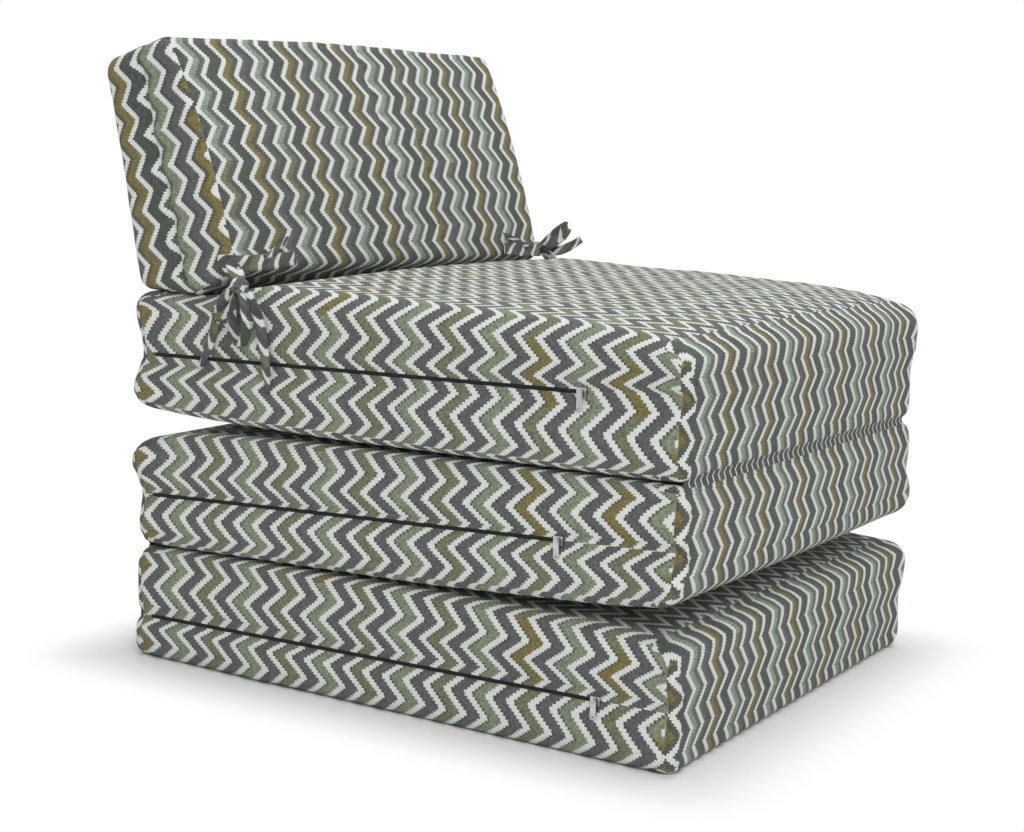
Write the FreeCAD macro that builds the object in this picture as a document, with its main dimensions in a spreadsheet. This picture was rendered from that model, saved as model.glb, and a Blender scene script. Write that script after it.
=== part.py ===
import FreeCAD, Part
import Sketcher
import math
import os

from FreeCAD import Placement, Rotation, Vector

# Convertible chair bed: three zipped foam cushions in a zigzag stack, sewn to each other at
# alternate edges, with a leaning back cushion tied on by a bow at each side.
# Millimetres. +Z is up, the sitter faces -Y, and the origin is on the floor under the middle of
# the bottom cushion. The zips are on the sitter's right, which is -X.

doc = FreeCAD.newDocument("ChairBed")
sheet = doc.addObject("Spreadsheet::Sheet", "Dims")

DIMENSIONS = [
    ("seat_width", 670, "width of every cushion"),
    ("seat_depth", 660, "from fold line to fold line"),
    ("bottom_edge", 122, "height of the bottom cushion at its edges"),
    ("middle_edge", 108, "height of the middle cushion at its edges"),
    ("top_edge", 122, "height of the top cushion at its edges"),
    ("middle_tilt", 3.95, "degrees that the middle cushion rises towards the front"),
    ("fold_gap", 2, "from a fold line to the faces of the cushions it joins"),
    ("contact_gap", 0.6, "between cushions that rest on each other"),
    ("settle_reach", 30, "length from a fold line over which the cushions come to rest"),
    ("level_share", 0.45, "share of a wedge that the level cushion's crown fills"),
    ("cover_wall", 1.5, "thickness of the woven cover"),
    ("foam_clearance", 0.5, "between the foam and its cover"),
    ("long_round", 18, "rounding of the long edges"),
    ("free_round", 22, "rounding of an end edge that is not sewn to a neighbour"),
    ("sewn_round", 8, "rounding of an end edge that is sewn to a neighbour"),
    ("floor_round", 12, "rounding of the edges that rest on the floor"),
    ("corner_round", 12, "rounding of the upright corners"),
    ("draw_in", 6, "depth to which the zip pulls the side in"),
    ("side_swell", 2, "swell of the side above and below the zip"),
    ("side_crown_share", 0.8, "share of a crown that is left above the long edges"),
    ("bottom_crown", 14, "crown on top of the bottom cushion"),
    ("middle_lower_crown", 16, "crown under the middle cushion"),
    ("middle_upper_crown", 20, "crown on top of the middle cushion"),
    ("top_lower_crown", 14, "crown under the top cushion"),
    ("seat_crown", 16, "crown of the seat"),
    ("crown_reach", 110, "length over which a crown falls to a free end"),
    ("panel_return", 30, "how far an end panel runs on over the edge"),
    ("panel_margin", 8, "from the cushion's side to the end panel's seam"),
    ("bottom_zip_length", 549, "zip of the bottom cushion"),
    ("middle_zip_length", 502, "zip of the middle cushion"),
    ("top_zip_length", 521, "zip of the top cushion"),
    ("zip_end_inset", 22, "from the rear of a cushion to the end of its zip"),
    ("bottom_zip_rear", 47, "height of the bottom zip at the rear"),
    ("bottom_zip_front", 60, "height of the bottom zip at its front end"),
    ("middle_zip_rear", 55, "height of the middle zip at the rear"),
    ("middle_zip_front", 48, "height of the middle zip at its front end"),
    ("top_zip_rear", 53, "height of the top zip at the rear"),
    ("top_zip_front", 74, "height of the top zip at its front end"),
    ("tape_width", 6, "visible width of the zip's tapes"),
    ("tape_thickness", 1.1, "thickness of the zip's tapes"),
    ("coil_width", 3, "width of the closed coil"),
    ("coil_height", 1.4, "height of the closed coil"),
    ("zip_clearance", 0.2, "around the tapes in their slot"),
    ("slider_length", 10, "slider along the zip"),
    ("slider_width", 9, "slider across the zip"),
    ("slider_height", 3.8, "slider without its stud"),
    ("running_clearance", 0.3, "between parts that slide or turn on each other"),
    ("stud_radius", 1.1, "stud that the pull hangs on"),
    ("stud_head_radius", 2.2, "head of the stud"),
    ("stud_head_height", 0.7, "thickness of the head"),
    ("pull_length", 21, "pull tab from end to end"),
    ("pull_width", 6, "width of the pull tab"),
    ("pull_thickness", 1, "thickness of the pull tab"),
    ("pull_standoff", 0.5, "from the swell of the side to the pull tab"),
    ("grip_hole_radius", 0.9, "small hole at the free end of the pull"),
    ("back_rear_height", 245, "height of the back cushion's rear face"),
    ("back_rear_lean", 14.4, "degrees that the rear face leans back"),
    ("back_top_slope", 21, "degrees that the top rises towards the front"),
    ("back_top_thickness", 94, "thickness of the back cushion at its top"),
    ("back_base_depth", 130, "from the rear corner to the nose"),
    ("back_nose_lift", 30, "height of the nose above the seat"),
    ("back_flat_depth", 74, "length of the underside that rests on the seat"),
    ("seat_clearance", 0.3, "between the back cushion and the seat"),
    ("back_round", 15, "rounding of the back cushion's long edges"),
    ("back_end_round", 12, "rounding of the back cushion's ends"),
    ("back_front_crown", 7, "crown of the front face"),
    ("back_width_crown", 5, "swell of the front between the ends"),
    ("back_top_crown", 2.5, "swell of the top between the ends"),
    ("back_pressed_depth", 80, "strip of the seat that the back cushion holds flat"),
    ("back_rise_depth", 170, "length over which the seat's crown rises in front of it"),
    ("back_zip_length", 520, "zip of the back cushion"),
    ("back_zip_inset", 75, "from the right end of the back cushion to its zip"),
    ("back_zip_height", 40, "from the rear corner up the rear face to the zip"),
    ("tie_width", 18, "width of a tie"),
    ("tie_thickness", 2.4, "thickness of a folded tie"),
    ("tie_reach", 105, "length of the tie that is sewn along the back cushion's nose"),
    ("tie_wrap", 24, "how far that tie runs on around the cushion's end"),
    ("tie_clearance", 0.3, "between a tie and what it lies on"),
    ("pivot_behind_nose", 8, "from the nose back to where the back cushion tips"),
    ("pivot_above_nose", 4, "from the nose up to where the back cushion tips"),
    ("knot_radius", 12, "radius of the bow's knot"),
    ("knot_clearance", 0.9, "between the knot and the round edge of the seat"),
    ("knot_forward", 10, "from the nose forward to the knot"),
    ("knot_drop", 5, "from the seat's edge down to the knot"),
    ("long_tail_length", 82, "longer hanging end of the bow"),
    ("long_tail_lean", -26, "degrees that it leans, forward"),
    ("short_tail_length", 70, "shorter hanging end of the bow"),
    ("short_tail_lean", 33, "degrees that it leans, to the rear"),
    ("tail_spread", 2, "between the two hanging ends at the knot"),
    ("loop_length", 34, "loop of the bow"),
    ("loop_thickness", 8, "two layers of tie and the air between them"),
    ("strip_thickness", 1.4, "sewn strip at a fold line"),
    ("strip_overrun", 2, "how far a strip runs past its fold line"),
    ("strip_clearance", 0.3, "between a strip and the rounded edge that it is sewn to"),
    ("strip_margin", 20, "from the cushion's side to the end of the strip"),
    ("rounding_steps", 4, "flat steps in a rounded end"),
]

for row, (name, value, note) in enumerate(DIMENSIONS, start=1):
    sheet.set(f"A{row}", name)
    sheet.set(f"B{row}", str(value))
    sheet.set(f"C{row}", note)
    sheet.setAlias(f"B{row}", name)
doc.recompute()


def dim(name):
    return float(sheet.get(name))


SUBPARTS = []


def keep(subpart, label):
    """Register an object as a finished sub-part."""
    subpart.Label = label
    SUBPARTS.append(subpart)
    return subpart


# Places that follow from the driving sizes

half_width = dim("seat_width") / 2
fold_gap = dim("fold_gap")
half_depth = dim("seat_depth") / 2
half_length = half_depth - fold_gap
tilt = math.radians(dim("middle_tilt"))

rear_fold = Vector(0, half_depth, dim("bottom_edge") + fold_gap)
bottom_place = Placement()
middle_place = Placement(rear_fold, Rotation(Vector(1, 0, 0), -dim("middle_tilt"))).multiply(
    Placement(Vector(0, -half_depth, fold_gap), Rotation())
)
front_fold = middle_place.multVec(Vector(0, -half_depth, dim("middle_edge") + fold_gap))
top_place = Placement(front_fold + Vector(0, half_depth, fold_gap), Rotation())
seat_level = top_place.Base.z + dim("top_edge")
seat_rear = top_place.Base.y + half_length


# Shared outline work

STRAIGHT = 0.01  # a bow under this is a straight line
STATION_GAP = 5  # sections nearer than this to the edge of the pressed strip are left out


def arc_or_line(start, middle, end):
    if (middle - (start + end) * 0.5).Length < STRAIGHT:
        return Part.LineSegment(start, end).toShape()
    return Part.Arc(start, middle, end).toShape()


def stand_back(distance, radius, inset):
    """How far a face, moved in by inset, stands back near an end with a rounded edge."""
    own_radius = radius - inset
    own_distance = max(distance - inset, 0.0)
    if own_distance >= own_radius:
        return inset
    return inset + own_radius - math.sqrt(own_radius ** 2 - (own_radius - own_distance) ** 2)


def rounding_distances(radius):
    """Distances from an end, at equal angles around its rounded edge."""
    count = int(dim("rounding_steps"))
    return [radius * (1 - math.cos(math.pi / 2 * step / count)) for step in range(count + 1)]


def ruled_solid(wires):
    solid = Part.makeLoft(wires, True, True)
    if solid.Volume < 0:
        solid.reverse()
    return solid


# Seat cushions: crowned boxes whose sides are drawn in along the zip

def wedge_crown(from_fold, from_free_end, share, crown):
    """Crown of a face that fills its share of the wedge between it and its neighbour."""
    settled = min(from_fold / dim("settle_reach"), 1.0)
    wedge = from_fold * math.tan(tilt) + (2 * fold_gap - dim("contact_gap")) * settled
    return min(crown, share * wedge) * end_fall(from_free_end)


def end_fall(distance):
    """Fall of a crown towards a free end."""
    reach = dim("crown_reach")
    if distance >= reach:
        return 1.0
    return math.sqrt(max(0.0, 1 - (1 - distance / reach) ** 2))


def seat_rise(distance_from_rear):
    """Crown of the seat: held flat under the back cushion, full in front of it."""
    part = (distance_from_rear - dim("back_pressed_depth")) / dim("back_rise_depth")
    part = min(max(part, 0.0), 1.0)
    return part * part * (3 - 2 * part)


class SeatCushion:
    """Sizes of one seat cushion in its own frame: base plane at z = 0, middle at y = 0."""

    def __init__(self, name, place, rounds, upper, lower):
        self.name = name
        self.place = place
        self.edge = dim(name + "_edge")
        self.rear_top, self.rear_base, self.front_top, self.front_base = rounds
        self.upper = upper
        self.lower = lower

    def seam_height(self, y):
        rear = dim(self.name + "_zip_rear")
        front = dim(self.name + "_zip_front")
        run = half_length - dim("zip_end_inset") - y
        return rear + (front - rear) * run / dim(self.name + "_zip_length")

    def section(self, y, inset):
        """Closed section across the cushion, drawn in by inset all round."""
        to_front = y + half_length
        to_rear = half_length - y
        side = half_width - stand_back(min(to_front, to_rear), dim("corner_round"), inset)
        drop = max(
            stand_back(to_front, self.front_top, inset),
            stand_back(to_rear, self.rear_top, inset),
        )
        base = max(
            stand_back(to_front, self.front_base, inset),
            stand_back(to_rear, self.rear_base, inset),
        )
        top = self.edge - drop
        round_ = dim("long_round") - inset
        low = base + round_
        high = top - round_
        band = dim("slider_width") / 2 + dim("running_clearance")
        seam = min(max(self.seam_height(y), low + 2 * band), high - 2 * band)
        crown = self.upper(to_front, to_rear)
        belly = self.lower(to_front, to_rear)
        crown_side = top + crown * dim("side_crown_share")
        belly_side = base - belly * dim("side_crown_share")
        waist = side - dim("draw_in")
        swelled = side - dim("draw_in") / 2 + dim("side_swell")
        shoulder = side - round_
        diagonal = math.sqrt(0.5)
        corner = shoulder + round_ * diagonal

        right = [
            ((shoulder, belly_side), (corner, low + (belly_side - low) * diagonal), (side, low)),
            ((side, low), (swelled, (low + seam - band) / 2), (waist, seam - band)),
            ((waist, seam - band), (waist, seam), (waist, seam + band)),
            ((waist, seam + band), (swelled, (seam + band + high) / 2), (side, high)),
            ((side, high), (corner, high + (crown_side - high) * diagonal), (shoulder, crown_side)),
        ]
        left = [tuple((-x, z) for x, z in reversed(step)) for step in reversed(right)]
        over = ((shoulder, crown_side), (0, top + crown), (-shoulder, crown_side))
        under = ((-shoulder, belly_side), (0, base - belly), (shoulder, belly_side))
        steps = right + [over] + left + [under]
        return Part.Wire([arc_or_line(*(Vector(x, y, z) for x, z in step)) for step in steps])

    def stations(self, inset):
        """Places along the depth, close together where the ends round off."""
        end = half_length - inset
        reach = dim("crown_reach")
        near_end = rounding_distances(dim("free_round") - inset) + [reach / 2, reach]
        front = [-end + step for step in near_end]
        rear = [end - step for step in reversed(near_end)]
        pressed = half_length - dim("back_pressed_depth")
        places = front + [-half_length / 3, 0, half_length / 3] + rear
        return sorted([y for y in places if abs(y - pressed) > STATION_GAP] + [pressed])

    def form(self, inset):
        return ruled_solid([self.section(y, inset) for y in self.stations(inset)])


free = dim("free_round")
sewn = dim("sewn_round")
floor = dim("floor_round")


level_share = dim("level_share")
tilted_share = 1 - level_share


def bottom_upper(front, rear):
    return wedge_crown(rear, front, level_share, dim("bottom_crown"))


def middle_lower(front, rear):
    return wedge_crown(rear, front, tilted_share, dim("middle_lower_crown"))


def middle_upper(front, rear):
    return wedge_crown(front, rear, tilted_share, dim("middle_upper_crown"))


def top_lower(front, rear):
    return wedge_crown(front, rear, level_share, dim("top_lower_crown"))


def top_upper(front, rear):
    return dim("seat_crown") * end_fall(front) * seat_rise(rear)


def flat(front, rear):
    return 0.0


CUSHIONS = [
    SeatCushion("bottom", bottom_place, (sewn, floor, free, floor), bottom_upper, flat),
    SeatCushion("middle", middle_place, (free, sewn, sewn, free), middle_upper, middle_lower),
    SeatCushion("top", top_place, (free, free, free, sewn), top_upper, top_lower),
]


# Covers: a shell between two forms, cut into the panels that are sewn together

def feature(name, shape, place):
    made = doc.addObject("Part::Feature", name)
    made.Shape = shape
    made.Placement = place
    return made


def bound_box(name, place, corner, length, width, height):
    """A cutting box whose sides follow the sheet."""
    box = doc.addObject("Part::Box", name)
    box.setExpression("Length", length)
    box.setExpression("Width", width)
    box.setExpression("Height", height)
    box.Placement = place.multiply(Placement(corner, Rotation()))
    return box


def cut(name, base, tool):
    made = doc.addObject("Part::Cut", name)
    made.Base = base
    made.Tool = tool
    return made


def common(name, first, second):
    made = doc.addObject("Part::Common", name)
    made.Base = first
    made.Tool = second
    return made


def fuse(name, parts):
    made = doc.addObject("Part::MultiFuse", name)
    made.Shapes = parts
    return made


# Zips: tapes in a slot of the cover, a coil on them, a slider on the coil and a pull on its stud.
# In a zip's own frame X runs from the closed end to the open end, Y hangs down and Z points out.

def axis_plane(body, role):
    return next(item for item in body.Origin.OriginFeatures if item.Role == role)


def new_sketch(body, name, height):
    """A sketch across the body's Z axis, at a height that follows the sheet."""
    sketch = body.newObject("Sketcher::SketchObject", name)
    sketch.AttachmentSupport = [(axis_plane(body, "XY_Plane"), "")]
    sketch.MapMode = "FlatFace"
    sketch.setExpression("AttachmentOffset.Base.z", height)
    return sketch


def rectangle_sketch(body, name, height, long, wide):
    """A rectangle centred on the body's origin, with sides bound to the sheet."""
    sketch = new_sketch(body, name, height)
    corners = [Vector(-1, -1, 0), Vector(1, -1, 0), Vector(1, 1, 0), Vector(-1, 1, 0)]
    for index in range(4):
        sketch.addGeometry(Part.LineSegment(corners[index], corners[(index + 1) % 4]), False)
    for index in range(4):
        sketch.addConstraint(Sketcher.Constraint("Coincident", index, 2, (index + 1) % 4, 1))
    for index, direction in enumerate(["Horizontal", "Vertical", "Horizontal", "Vertical"]):
        sketch.addConstraint(Sketcher.Constraint(direction, index))
    sketch.addConstraint(Sketcher.Constraint("Symmetric", 0, 1, 1, 2, -1, 1))
    across = sketch.addConstraint(Sketcher.Constraint("DistanceX", 0, 1, 0, 2, 2))
    up = sketch.addConstraint(Sketcher.Constraint("DistanceY", 1, 1, 1, 2, 2))
    sketch.setExpression(f"Constraints[{across}]", long)
    sketch.setExpression(f"Constraints[{up}]", wide)
    return sketch


def circle_sketch(body, name, height, radius, down="0"):
    """A circle on the body's Z axis, or moved down along Y."""
    sketch = new_sketch(body, name, height)
    sketch.setExpression("AttachmentOffset.Base.y", down)
    sketch.addGeometry(Part.Circle(Vector(0, 0, 0), Vector(0, 0, 1), 1), False)
    sketch.addConstraint(Sketcher.Constraint("Coincident", 0, 3, -1, 1))
    size = sketch.addConstraint(Sketcher.Constraint("Radius", 0, 1))
    sketch.setExpression(f"Constraints[{size}]", radius)
    return sketch


def tab_sketch(body, name, height):
    """The outline of the pull: a strip with round ends, hung from the origin."""
    sketch = new_sketch(body, name, height)
    half = dim("pull_width") / 2
    reach = dim("pull_length") - dim("pull_width")
    sketch.addGeometry(Part.LineSegment(Vector(-half, 0, 0), Vector(-half, reach, 0)), False)
    far_end = Part.Circle(Vector(0, reach, 0), Vector(0, 0, 1), half)
    sketch.addGeometry(Part.ArcOfCircle(far_end, 0, math.pi), False)
    sketch.addGeometry(Part.LineSegment(Vector(half, reach, 0), Vector(half, 0, 0)), False)
    near_end = Part.Circle(Vector(0, 0, 0), Vector(0, 0, 1), half)
    sketch.addGeometry(Part.ArcOfCircle(near_end, math.pi, 2 * math.pi), False)
    sketch.addConstraint(Sketcher.Constraint("Tangent", 0, 2, 1, 2))
    sketch.addConstraint(Sketcher.Constraint("Tangent", 1, 1, 2, 1))
    sketch.addConstraint(Sketcher.Constraint("Tangent", 2, 2, 3, 2))
    sketch.addConstraint(Sketcher.Constraint("Tangent", 3, 1, 0, 1))
    sketch.addConstraint(Sketcher.Constraint("Coincident", 3, 3, -1, 1))
    sketch.addConstraint(Sketcher.Constraint("Vertical", 0))
    radius = sketch.addConstraint(Sketcher.Constraint("Radius", 3, 3))
    span = sketch.addConstraint(Sketcher.Constraint("DistanceY", 3, 3, 1, 3, reach))
    sketch.setExpression(f"Constraints[{radius}]", "Dims.pull_width / 2")
    sketch.setExpression(f"Constraints[{span}]", "Dims.pull_length - Dims.pull_width")
    return sketch


def pad(body, name, sketch, length):
    made = body.newObject("PartDesign::Pad", name)
    made.Profile = sketch
    made.setExpression("Length", length)
    return made


def pocket_upwards(body, name, sketch, length):
    made = body.newObject("PartDesign::Pocket", name)
    made.Profile = sketch
    made.Reversed = True
    made.setExpression("Length", length)
    return made


def zip_slider(owner, place, pull_height):
    """Slider with a channel for the coil and a headed stud for the pull."""
    body = doc.addObject("PartDesign::Body", owner + "_slider_body")
    base = "Dims.running_clearance"
    block = rectangle_sketch(body, owner + "_block", base, "Dims.slider_length", "Dims.slider_width")
    pad(body, owner + "_block_pad", block, "Dims.slider_height")
    across = "Dims.coil_width + 2 * Dims.running_clearance"
    channel = rectangle_sketch(body, owner + "_channel", base, "2 * Dims.slider_length", across)
    pocket_upwards(body, owner + "_channel_cut", channel, "Dims.coil_height")
    top = "Dims.running_clearance + Dims.slider_height"
    stud = circle_sketch(body, owner + "_stud", top, "Dims.stud_radius")
    head_base = f"{pull_height} + Dims.pull_thickness + Dims.running_clearance"
    pad(body, owner + "_stud_pad", stud, f"{head_base} - ({top})")
    head = circle_sketch(body, owner + "_head", head_base, "Dims.stud_head_radius")
    pad(body, owner + "_head_pad", head, "Dims.stud_head_height")
    body.Placement = place
    return keep(body, owner + "_zip_slider")


def zip_pull(owner, place, pull_height):
    """Flat metal tab with the stud's hole at the top and a small hole at the grip."""
    body = doc.addObject("PartDesign::Body", owner + "_pull_body")
    outline = tab_sketch(body, owner + "_tab", pull_height)
    pad(body, owner + "_tab_pad", outline, "Dims.pull_thickness")
    eye = circle_sketch(body, owner + "_eye", pull_height, "Dims.stud_radius + Dims.running_clearance")
    pocket_upwards(body, owner + "_eye_cut", eye, "Dims.pull_thickness")
    reach = "Dims.pull_length - Dims.pull_width"
    grip = circle_sketch(body, owner + "_grip", pull_height, "Dims.grip_hole_radius", reach)
    pocket_upwards(body, owner + "_grip_cut", grip, "Dims.pull_thickness")
    body.Placement = place
    return keep(body, owner + "_zip_pull")


def zip_strip(owner, kind, place, corner, length, width, height):
    strip = bound_box(owner + "_" + kind, place, corner, length, width, height)
    return keep(strip, owner + "_" + kind)


def add_zip(owner, place, length_name, pull_height):
    """Tapes, coil, slider and pull of one zip; returns the cutter for its slot."""
    half_slider = dim("slider_length") / 2
    run = f"Dims.{length_name} + Dims.slider_length / 2"
    tape_corner = Vector(-half_slider, -dim("tape_width") / 2, -dim("tape_thickness"))
    zip_strip(owner, "zip_tape", place, tape_corner, run, "Dims.tape_width", "Dims.tape_thickness")
    coil_corner = Vector(-half_slider, -dim("coil_width") / 2, 0)
    zip_strip(owner, "zip_coil", place, coil_corner, run, "Dims.coil_width", "Dims.coil_height")
    zip_slider(owner, place, pull_height)
    zip_pull(owner, place, pull_height)
    clearance = dim("zip_clearance")
    depth = dim("cover_wall") + clearance
    slot_corner = Vector(-half_slider - clearance, -dim("tape_width") / 2 - clearance, -depth)
    return bound_box(
        owner + "_slot",
        place,
        slot_corner,
        run + " + 2 * Dims.zip_clearance",
        "Dims.tape_width + 2 * Dims.zip_clearance",
        "2 * (Dims.cover_wall + Dims.zip_clearance)",
    )


def side_zip_place(cushion):
    """The closed end of a cushion's zip, on the band of its right side."""
    length = dim(cushion.name + "_zip_length")
    rear = half_length - dim("zip_end_inset")
    fall = (dim(cushion.name + "_zip_rear") - dim(cushion.name + "_zip_front")) / length
    along = Vector(0, 1, fall).normalize()
    outward = Vector(-1, 0, 0)
    turn = Rotation(along, outward.cross(along), outward, "ZXY")
    start = Vector(dim("draw_in") - half_width, rear - length, dim(cushion.name + "_zip_front"))
    return cushion.place.multiply(Placement(start, turn))


def panel_box(cushion, name, from_front):
    """The part of a cushion's shell that one end panel covers."""
    reach = dim("panel_return")
    y = -half_length - reach if from_front else half_length - reach
    corner = Vector(dim("panel_margin") - half_width, y, -half_width)
    return bound_box(
        name,
        cushion.place,
        corner,
        "Dims.seat_width - 2 * Dims.panel_margin",
        "2 * Dims.panel_return",
        "Dims.seat_width",
    )


def add_seat_cushion(cushion):
    name = cushion.name
    wall = dim("cover_wall")
    outer = feature(name + "_outer", cushion.form(0), cushion.place)
    inner = feature(name + "_inner", cushion.form(wall), cushion.place)
    shell = cut(name + "_shell", outer, inner)
    foam = feature(name + "_foam_form", cushion.form(wall + dim("foam_clearance")), cushion.place)
    keep(foam, name + "_foam")
    pull_height = "Dims.draw_in + Dims.pull_standoff"
    slot = add_zip(name, side_zip_place(cushion), name + "_zip_length", pull_height)
    front_box = panel_box(cushion, name + "_front_box", True)
    rear_box = panel_box(cushion, name + "_rear_box", False)
    keep(common(name + "_front", shell, front_box), name + "_front_panel")
    keep(common(name + "_rear", shell, rear_box), name + "_rear_panel")
    openings = fuse(name + "_openings", [front_box, rear_box, slot])
    keep(cut(name + "_wrap", shell, openings), name + "_wrap_cover")


for seat_cushion in CUSHIONS:
    add_seat_cushion(seat_cushion)


# Fold strips: a sewn band along each fold line, in the groove between the rounded edges. Each
# reaches from the rounded edge of the cushion below to just past the line on which the
# neighbour turns.

def fold_strip(name, line, carrier_place, towards_edge):
    groove = (fold_gap + dim("sewn_round")) * math.sqrt(2) - dim("sewn_round")
    reach = groove - dim("strip_clearance")
    aimed = carrier_place.Rotation.multiply(Rotation(Vector(1, 0, 0), towards_edge))
    corner = Vector(dim("strip_margin") - half_width, -dim("strip_thickness") / 2, -reach)
    reach_text = "(Dims.fold_gap + Dims.sewn_round) * sqrt(2) - Dims.sewn_round - Dims.strip_clearance"
    strip = bound_box(
        name,
        Placement(line, aimed),
        corner,
        "Dims.seat_width - 2 * Dims.strip_margin",
        "Dims.strip_thickness",
        reach_text + " + Dims.strip_overrun",
    )
    return keep(strip, name)


fold_strip("rear_fold_strip", rear_fold, bottom_place, -45)
fold_strip("front_fold_strip", front_fold, middle_place, 45)


# Back cushion: a leaning wedge with a crowned front. Its own frame has the lower rear corner
# at y = 0 and z = 0, and its sections lie across the width.

back_place = Placement(Vector(0, seat_rear, seat_level + dim("seat_clearance")), Rotation())


FRONT_EDGE = 2  # place of the front face among the edges that start at these corners


def back_corners():
    """Rear base, end of the flat underside, nose, front top and rear top."""
    lean = math.radians(dim("back_rear_lean"))
    slope = math.radians(dim("back_top_slope"))
    height = dim("back_rear_height")
    thick = dim("back_top_thickness")
    top_rear = (height * math.sin(lean), height * math.cos(lean))
    return [
        (0.0, 0.0),
        (-dim("back_flat_depth"), 0.0),
        (-dim("back_base_depth"), dim("back_nose_lift")),
        (top_rear[0] - thick * math.cos(slope), top_rear[1] + thick * math.sin(slope)),
        top_rear,
    ]


def moved_edge(start, end, inward):
    """The edge's start and direction after it moves towards the inside."""
    along = (end - start).normalize()
    normal = Vector(0, along.z, -along.y)
    return start + normal * inward, along


def crossing(first, second):
    """Where two moved edges cross, in the plane across the width."""
    (a, u), (b, v) = first, second
    scale = u.y * v.z - u.z * v.y
    share = ((b.y - a.y) * v.z - (b.z - a.z) * v.y) / scale
    return a + u * share


def back_section(x, inset):
    """Rounded outline of the back cushion at one place along its width."""
    inward = stand_back(half_width - abs(x), dim("back_end_round"), inset)
    swell = 1 - (x / half_width) ** 2
    swells = [0.0, 0.0, swell * dim("back_width_crown"), swell * dim("back_top_crown"), 0.0]
    corners = [Vector(x, y, z) for y, z in back_corners()]
    edges = []
    for index, corner in enumerate(corners):
        following = corners[(index + 1) % 5]
        edges.append(moved_edge(corner, following, inward - swells[index]))
    points = [crossing(edges[index - 1], edges[index]) for index in range(5)]
    round_ = dim("back_round") - inset
    rounded = []
    for index, corner in enumerate(points):
        before = (points[index - 1] - corner).normalize()
        after = (points[(index + 1) % 5] - corner).normalize()
        half_angle = before.getAngle(after) / 2
        reach = round_ / math.tan(half_angle)
        inner = (before + after).normalize() * (round_ / math.sin(half_angle))
        middle = corner + inner - inner.normalize() * round_
        rounded.append((corner + before * reach, middle, corner + after * reach))
    pieces = []
    for index, (start, middle, finish) in enumerate(rounded):
        pieces.append(Part.Arc(start, middle, finish).toShape())
        following = rounded[(index + 1) % 5][0]
        along = edges[index][1]
        bow = dim("back_front_crown") if index == FRONT_EDGE else 0.0
        outward = Vector(0, -along.z, along.y) * bow
        pieces.append(arc_or_line(finish, (finish + following) * 0.5 + outward, following))
    return Part.Wire(pieces)


def back_form(inset):
    end = half_width - inset
    steps = rounding_distances(dim("back_end_round") - inset) + [half_width / 4, half_width / 2]
    left = [-end + step for step in steps]
    right = [end - step for step in reversed(steps)]
    return ruled_solid([back_section(x, inset) for x in left + [0] + right])


def back_zip_place():
    """The closed end of the back cushion's zip, low on its rear face."""
    lean = math.radians(dim("back_rear_lean"))
    outward = Vector(0, math.cos(lean), -math.sin(lean))
    along = Vector(1, 0, 0)
    turn = Rotation(along, outward.cross(along), outward, "ZXY")
    up = dim("back_zip_height")
    start = Vector(dim("back_zip_inset") - half_width, up * math.sin(lean), up * math.cos(lean))
    return back_place.multiply(Placement(start, turn))


def back_end_box(name, side):
    """The part of the back cushion's shell that an end panel covers."""
    x = side * half_width - dim("panel_margin")
    corner = Vector(x, -half_width, -half_width)
    return bound_box(
        name, back_place, corner, "2 * Dims.panel_margin", "Dims.seat_width", "2 * Dims.seat_width"
    )


def add_back_cushion():
    wall = dim("cover_wall")
    outer = feature("back_outer", back_form(0), back_place)
    inner = feature("back_inner", back_form(wall), back_place)
    shell = cut("back_shell", outer, inner)
    foam = feature("back_foam_form", back_form(wall + dim("foam_clearance")), back_place)
    keep(foam, "back_foam")
    pull_height = "Dims.slider_height + 2 * Dims.running_clearance"
    slot = add_zip("back", back_zip_place(), "back_zip_length", pull_height)
    right_box = back_end_box("back_right_box", -1)
    left_box = back_end_box("back_left_box", 1)
    keep(common("back_right", shell, right_box), "back_right_end_panel")
    keep(common("back_left", shell, left_box), "back_left_end_panel")
    openings = fuse("back_openings", [right_box, left_box, slot])
    keep(cut("back_wrap", shell, openings), "back_wrap_cover")


add_back_cushion()


# Ties: at each side a tie is sewn along the back cushion's nose and around its end. A strap from
# there goes down to the knot of a bow, which has a loop and two hanging ends.

tie_clearance = dim("tie_clearance")
tie_thickness = dim("tie_thickness")
tie_half_width = dim("tie_width") / 2
knot_radius = dim("knot_radius")

nose = back_place.multVec(Vector(0, -dim("back_base_depth"), dim("back_nose_lift")))
back_pivot = nose + Vector(0, dim("pivot_behind_nose"), dim("pivot_above_nose"))
knot_y = nose.y - dim("knot_forward")
knot_z = seat_level - dim("knot_drop")
knot_to_round = dim("long_round") + knot_radius + dim("knot_clearance")
knot_above_round = dim("long_round") - dim("knot_drop")
knot_x = half_width - dim("long_round") + math.sqrt(knot_to_round ** 2 - knot_above_round ** 2)

strap_inner = half_width + 2 * tie_clearance + tie_thickness
strap_outer = strap_inner + tie_thickness
hang = math.sqrt(knot_radius ** 2 - (knot_x - strap_outer) ** 2) + tie_clearance


def nose_tie(name, side):
    """A folded tie along the front of the nose and around the end of the cushion."""
    outside = feature(name + "_outside", back_form(-tie_clearance - tie_thickness), back_place)
    inside = feature(name + "_inside", back_form(-tie_clearance), back_place)
    band = cut(name + "_band", outside, inside)
    start = half_width - dim("tie_reach") if side > 0 else -half_width - dim("tie_width")
    corner = Vector(start, -dim("back_base_depth") - dim("tie_width"), dim("back_nose_lift"))
    window = bound_box(
        name + "_window",
        back_place,
        corner,
        "Dims.tie_reach + Dims.tie_width",
        "Dims.tie_width + Dims.tie_wrap",
        "Dims.tie_width",
    )
    return keep(common(name, band, window), name)


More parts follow.
